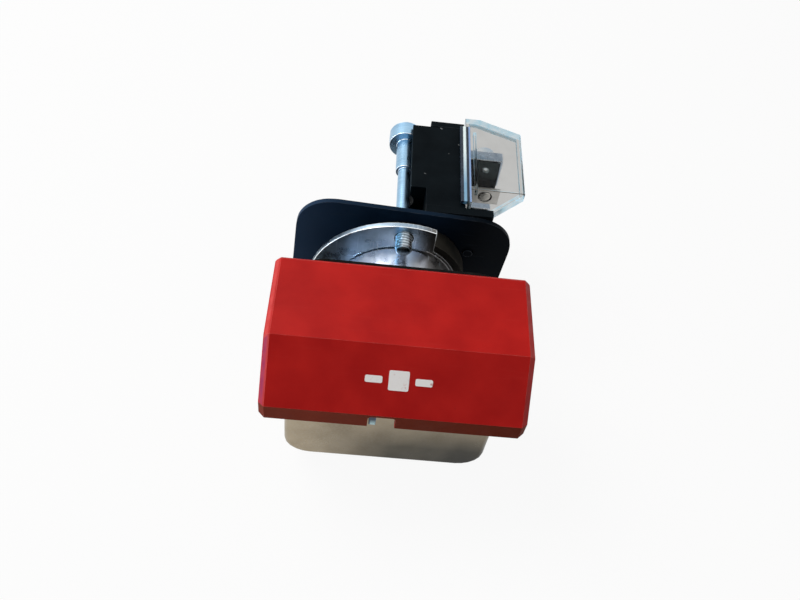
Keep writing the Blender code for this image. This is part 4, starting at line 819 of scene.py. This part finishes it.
def coil_tree():
    """Coil spring about Y whose end turns close up, as one swept wire."""
    tree, given, result = new_tree("coil_tree", {
        "Radius": "Float", "Wire": "Float", "Turns": "Int", "Start": "Vector", "Height": "Float",
        "Finish": "Material"})
    points = calc(tree, "ADD", calc(tree, "MULTIPLY", given["Turns"], COIL_STEPS), 1.0)
    line = wired(tree, "GeometryNodeCurvePrimitiveLine", {"End": (0.0, 1.0, 0.0)})
    rows = wired(tree, "GeometryNodeResampleCurve", {"Curve": line.outputs["Curve"], "Count": points})
    share = wired(tree, "GeometryNodeSplineParameter").outputs["Factor"]
    swing = calc(tree, "SINE", calc(tree, "MULTIPLY", share, 4 * math.pi))
    eased = calc(tree, "SUBTRACT", share, calc(tree, "MULTIPLY", swing, COIL_CLOSING / (2 * math.pi)))
    angle = calc(tree, "MULTIPLY", calc(tree, "MULTIPLY", share, given["Turns"]), 2 * math.pi)
    spot = wired(tree, "ShaderNodeCombineXYZ", {
        "X": calc(tree, "MULTIPLY", calc(tree, "COSINE", angle), given["Radius"]),
        "Y": calc(tree, "MULTIPLY", eased, given["Height"]),
        "Z": calc(tree, "MULTIPLY", calc(tree, "SINE", angle), given["Radius"])})
    moved = wired(tree, "ShaderNodeVectorMath", {0: spot.outputs["Vector"], 1: given["Start"]},
                  operation="ADD")
    path = wired(tree, "GeometryNodeSetPosition",
                 {"Geometry": rows.outputs["Curve"], "Position": moved.outputs["Vector"]})
    ring = wired(tree, "GeometryNodeCurvePrimitiveCircle",
                 {"Resolution": COIL_SIDES, "Radius": calc(tree, "MULTIPLY", given["Wire"], 0.5)})
    wire = wired(tree, "GeometryNodeCurveToMesh", {
        "Curve": path.outputs["Geometry"], "Profile Curve": ring.outputs["Curve"], "Fill Caps": True})
    ended(tree, wire.outputs["Mesh"], given["Finish"], result)
    return tree


def grown(name, tree, values):
    """Return a plain mesh object made by a geometry node tree."""
    piece = linked(name, bpy.data.meshes.new(name))
    modifier = piece.modifiers.new(name, "NODES")
    modifier.node_group = tree
    for item in tree.interface.items_tree:
        if item.in_out == "INPUT":
            modifier[item.identifier] = values[item.name]
    bpy.context.view_layer.update()
    settled(piece)
    bm = bmesh.new()
    bm.from_mesh(piece.data)
    bmesh.ops.remove_doubles(bm, verts=bm.verts, dist=MERGE_REACH)
    bmesh.ops.recalc_face_normals(bm, faces=bm.faces)
    bm.to_mesh(piece.data)
    bm.free()
    shaded(piece.data, HARD_ON_NODES)
    return piece


def set_screws():
    """Threaded screws in the horseshoe clamp."""
    low, high = corners("clamp_set_screw_upper")
    upper = middle("clamp_set_screw_upper")
    lower = middle("clamp_set_screw_lower")
    radius = (high.x - low.x) / 2
    piece = grown("set_screws", thread_tree(), {
        "Radius": radius, "Length": high.y - low.y, "Pitch": THREAD_PITCH, "Depth": THREAD_DEPTH,
        "Chamfer": THREAD_CHAMFER, "Rows": THREAD_ROWS, "Count": 2, "Start": (upper.x, low.y, upper.z),
        "Step": tuple(lower - upper), "Finish": thread_steel(radius, upper.z)})
    stands_for(piece, "clamp_set_screw_upper", "clamp_set_screw_lower")


def coil(node, name, wire, turns):
    """Smooth coil in place of a CAD spring."""
    low, high = corners(node)
    centre = middle(node)
    length = high.y - low.y
    piece = grown(name, coil_tree(), {
        "Radius": (high.z - low.z - wire) / 2, "Wire": wire, "Turns": turns,
        "Start": (centre.x, low.y + wire / 2, centre.z), "Height": length - wire,
        "Finish": FINISH_OF_SLOT[SLOT_OF[node]]})
    stands_for(piece, node)
    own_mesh(piece)


def hood():
    """Red hood whose front skirt takes a darker brown copy of the red as painted shade."""
    piece = softened("push_cap", "hood", HOOD_SOFT_EDGE)
    piece.data.materials.append(skirt_painted_shade())
    skirt_back = corners("push_cap")[0].y + 1.5 * MM
    skirt_top = facet()[0].z
    # The skirt's front faces get the painted-shade copy of the red.
    for polygon in piece.data.polygons:
        faces_front = polygon.normal.y < -0.3 and abs(polygon.normal.z) < 0.2
        if faces_front and polygon.center.y < skirt_back and polygon.center.z < skirt_top:
            polygon.material_index = 1


def shroud():
    """Clear cover with painted bands of highlight and shade on its rim, blue-white walls and edges that
    gather light, and a painted dark line of shade along its fold.
    """
    piece = softened("terminal_cover", "shroud", SHROUD_SOFT_EDGE, angle=20.0)
    for material in (shroud_edge(), shroud_fold_shade(), shroud_rim()):
        piece.data.materials.append(material)
    edge_index, fold_index, rim_index = 1, 2, 3
    low, high = corners("terminal_cover")
    rim_right = low.x + 2.7 * MM
    rim_foot = high.z - 1.2 * MM
    fold = low.y + 5.4 * MM
    fold_reach = 0.5 * MM
    softened_faces = piece.data.attributes[EDGE_WEAR].data
    for polygon in piece.data.polygons:
        x, y, z = polygon.center
        worn = softened_faces[polygon.index].value > 0.5
        beyond_rim = x > rim_right
        on_wall = abs(polygon.normal.z) < 0.3
        if worn and beyond_rim and abs(y - fold) < fold_reach and polygon.normal.z > 0.7:
            polygon.material_index = fold_index
        elif x < rim_right and z > rim_foot:
            polygon.material_index = rim_index
        elif beyond_rim and (on_wall or worn):
            polygon.material_index = edge_index


def tower_rivet():
    """Small domed rivet on the upper terminal tower."""
    low, high = corners("terminal_clamp_upper")
    across = middle("terminal_clamp_upper").x - RIVET_LEFT
    centre = Vector((across, low.y - RIVET_FORWARD, high.z - RIVET_BELOW))
    bm = bmesh.new()
    rings = []
    for height, share in RIVET_PROFILE:
        ring = []
        for step in range(RIVET_SIDES):
            angle = 2 * math.pi * step / RIVET_SIDES
            out = RIVET_RADIUS * share
            ring.append(bm.verts.new(centre + Vector((out * math.cos(angle), out * math.sin(angle), height))))
        rings.append(ring)
    for first, second in zip(rings, rings[1:]):
        for i in range(RIVET_SIDES):
            j = (i + 1) % RIVET_SIDES
            bm.faces.new((first[i], first[j], second[j], second[i]))
    bm.faces.new(rings[0])
    bm.faces.new(rings[-1])
    bmesh.ops.recalc_face_normals(bm, faces=bm.faces)
    mesh = finished_mesh(bm, "tower_rivet")
    shaded(mesh, HARD_ON_RIVET)
    mesh.materials.append(rivet_steel(centre))
    piece = linked("tower_rivet", mesh)
    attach(piece, "base")


def legend():
    """Generic printed mark on the hood's front facet: a square between two bars."""
    across = Vector((1.0, 0.0, 0.0))
    up = Vector((0.0, 1.0, 1.0)).normalized()
    out = across.cross(up)
    facet_low, facet_high = facet()
    centre = (facet_low + facet_high) / 2 + across * MARK_RIGHT + up * MARK_UP + out * MARK_LIFT
    bm = bmesh.new()
    for field, width, height in MARK_FIELDS:
        rim = []
        for quarter, (right, top) in enumerate(((1, 1), (-1, 1), (-1, -1), (1, -1))):
            for step in range(MARK_CORNER_STEPS + 1):
                angle = math.radians(90 * (quarter + step / MARK_CORNER_STEPS))
                u = field + right * (width / 2 - MARK_CORNER) + MARK_CORNER * math.cos(angle)
                v = top * (height / 2 - MARK_CORNER) + MARK_CORNER * math.sin(angle)
                rim.append(bm.verts.new(centre + across * u + up * v))
        sides = bmesh.ops.extrude_face_region(bm, geom=[bm.faces.new(rim)])
        lowered = [v for v in sides["geom"] if isinstance(v, bmesh.types.BMVert)]
        bmesh.ops.translate(bm, verts=lowered, vec=out * -MARK_THICKNESS)
    bmesh.ops.recalc_face_normals(bm, faces=bm.faces)
    mesh = finished_mesh(bm, "legend_mark")
    mesh.materials.append(printed_white())
    piece = linked("legend_mark", mesh)
    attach(piece, "push_head")


def seen(tree):
    """Return 1 for the rays of the eye, mirror and glass, and 0 for the rest."""
    rays = wired(tree, "ShaderNodeLightPath").outputs
    direct = calc(tree, "MAXIMUM", rays["Is Camera Ray"], rays["Is Glossy Ray"])
    return calc(tree, "MAXIMUM", direct, rays["Is Transmission Ray"])


def floor():
    """Pale floor under the object, which fades into the white background."""
    bm = bmesh.new()
    bmesh.ops.create_grid(bm, x_segments=1, y_segments=1, size=FLOOR_REACH)
    mesh = finished_mesh(bm, "floor")
    obj = linked("floor", mesh)
    obj.location = (0.0, 0.0, cad_box[0][2])
    material = bpy.data.materials.new("floor_white")
    material.use_nodes = True
    tree = material.node_tree
    shader = tree.nodes["Principled BSDF"]
    shader.inputs["Base Color"].default_value = FLOOR_GREY
    shader.inputs["Roughness"].default_value = 0.9
    glow = wired(tree, "ShaderNodeEmission")
    mix = wired(tree, "ShaderNodeMixShader", {
        "Fac": calc(tree, "MULTIPLY", seen(tree), FLOOR_GLOW), 1: shader.outputs["BSDF"],
        2: glow.outputs["Emission"]})
    tree.links.new(mix.outputs["Shader"], tree.nodes["Material Output"].inputs["Surface"])
    mesh.materials.append(material)


def world():
    """White background for the eye, mirror and glass, and an even light for the rest."""
    studio = bpy.data.worlds.new("studio")
    bpy.context.scene.world = studio
    studio.use_nodes = True
    tree = studio.node_tree
    background = tree.nodes["Background"]
    strength = wired(tree, "ShaderNodeMapRange", {"Value": seen(tree), "To Min": WORLD_LIGHT, "To Max": 1.0})
    tree.links.new(strength.outputs["Result"], background.inputs["Strength"])
    background.inputs["Color"].default_value = (1.0, 1.0, 1.0, 1.0)


def lamp(name, place, target, size, power, colour):
    """Soft square lamp that looks at a point."""
    light = bpy.data.lights.new(name, "AREA")
    light.shape = "SQUARE"
    light.size = size
    light.energy = power
    light.color = colour
    obj = linked(name, light)
    obj.location = place
    obj.rotation_euler = (Vector(target) - Vector(place)).to_track_quat("-Z", "Y").to_euler()


def camera():
    """Camera at the place and with the lens that the photograph was taken from."""
    data = bpy.data.cameras.new("camera")
    data.sensor_fit = "HORIZONTAL"
    data.sensor_width = SENSOR_WIDTH
    data.lens = LENS_PIXELS * SENSOR_WIDTH / IMAGE_WIDTH
    data.clip_start = CLIP_START
    obj = linked("camera", data)
    forward = CAMERA_RIGHT.cross(CAMERA_DOWN).normalized()
    turn = Matrix((CAMERA_RIGHT, -CAMERA_DOWN, -forward)).transposed().to_4x4()
    obj.matrix_world = Matrix.Translation(CAMERA_PLACE) @ turn
    bpy.context.scene.camera = obj


camera()
for cad_node, (piece_name, edge_mm) in SOFT_EDGES.items():
    softened(cad_node, piece_name, edge_mm * MM)
hood()
shroud()
tower_rivet()
set_screws()
coil("return_spring", "return_coil", wire=1.0 * MM, turns=5)
coil("contact_spring", "contact_coil", wire=0.7 * MM, turns=4)
legend()
floor()
world()
for lamp_facts in LAMPS:
    lamp(*lamp_facts)
bpy.context.scene.view_settings.view_transform = "Standard"
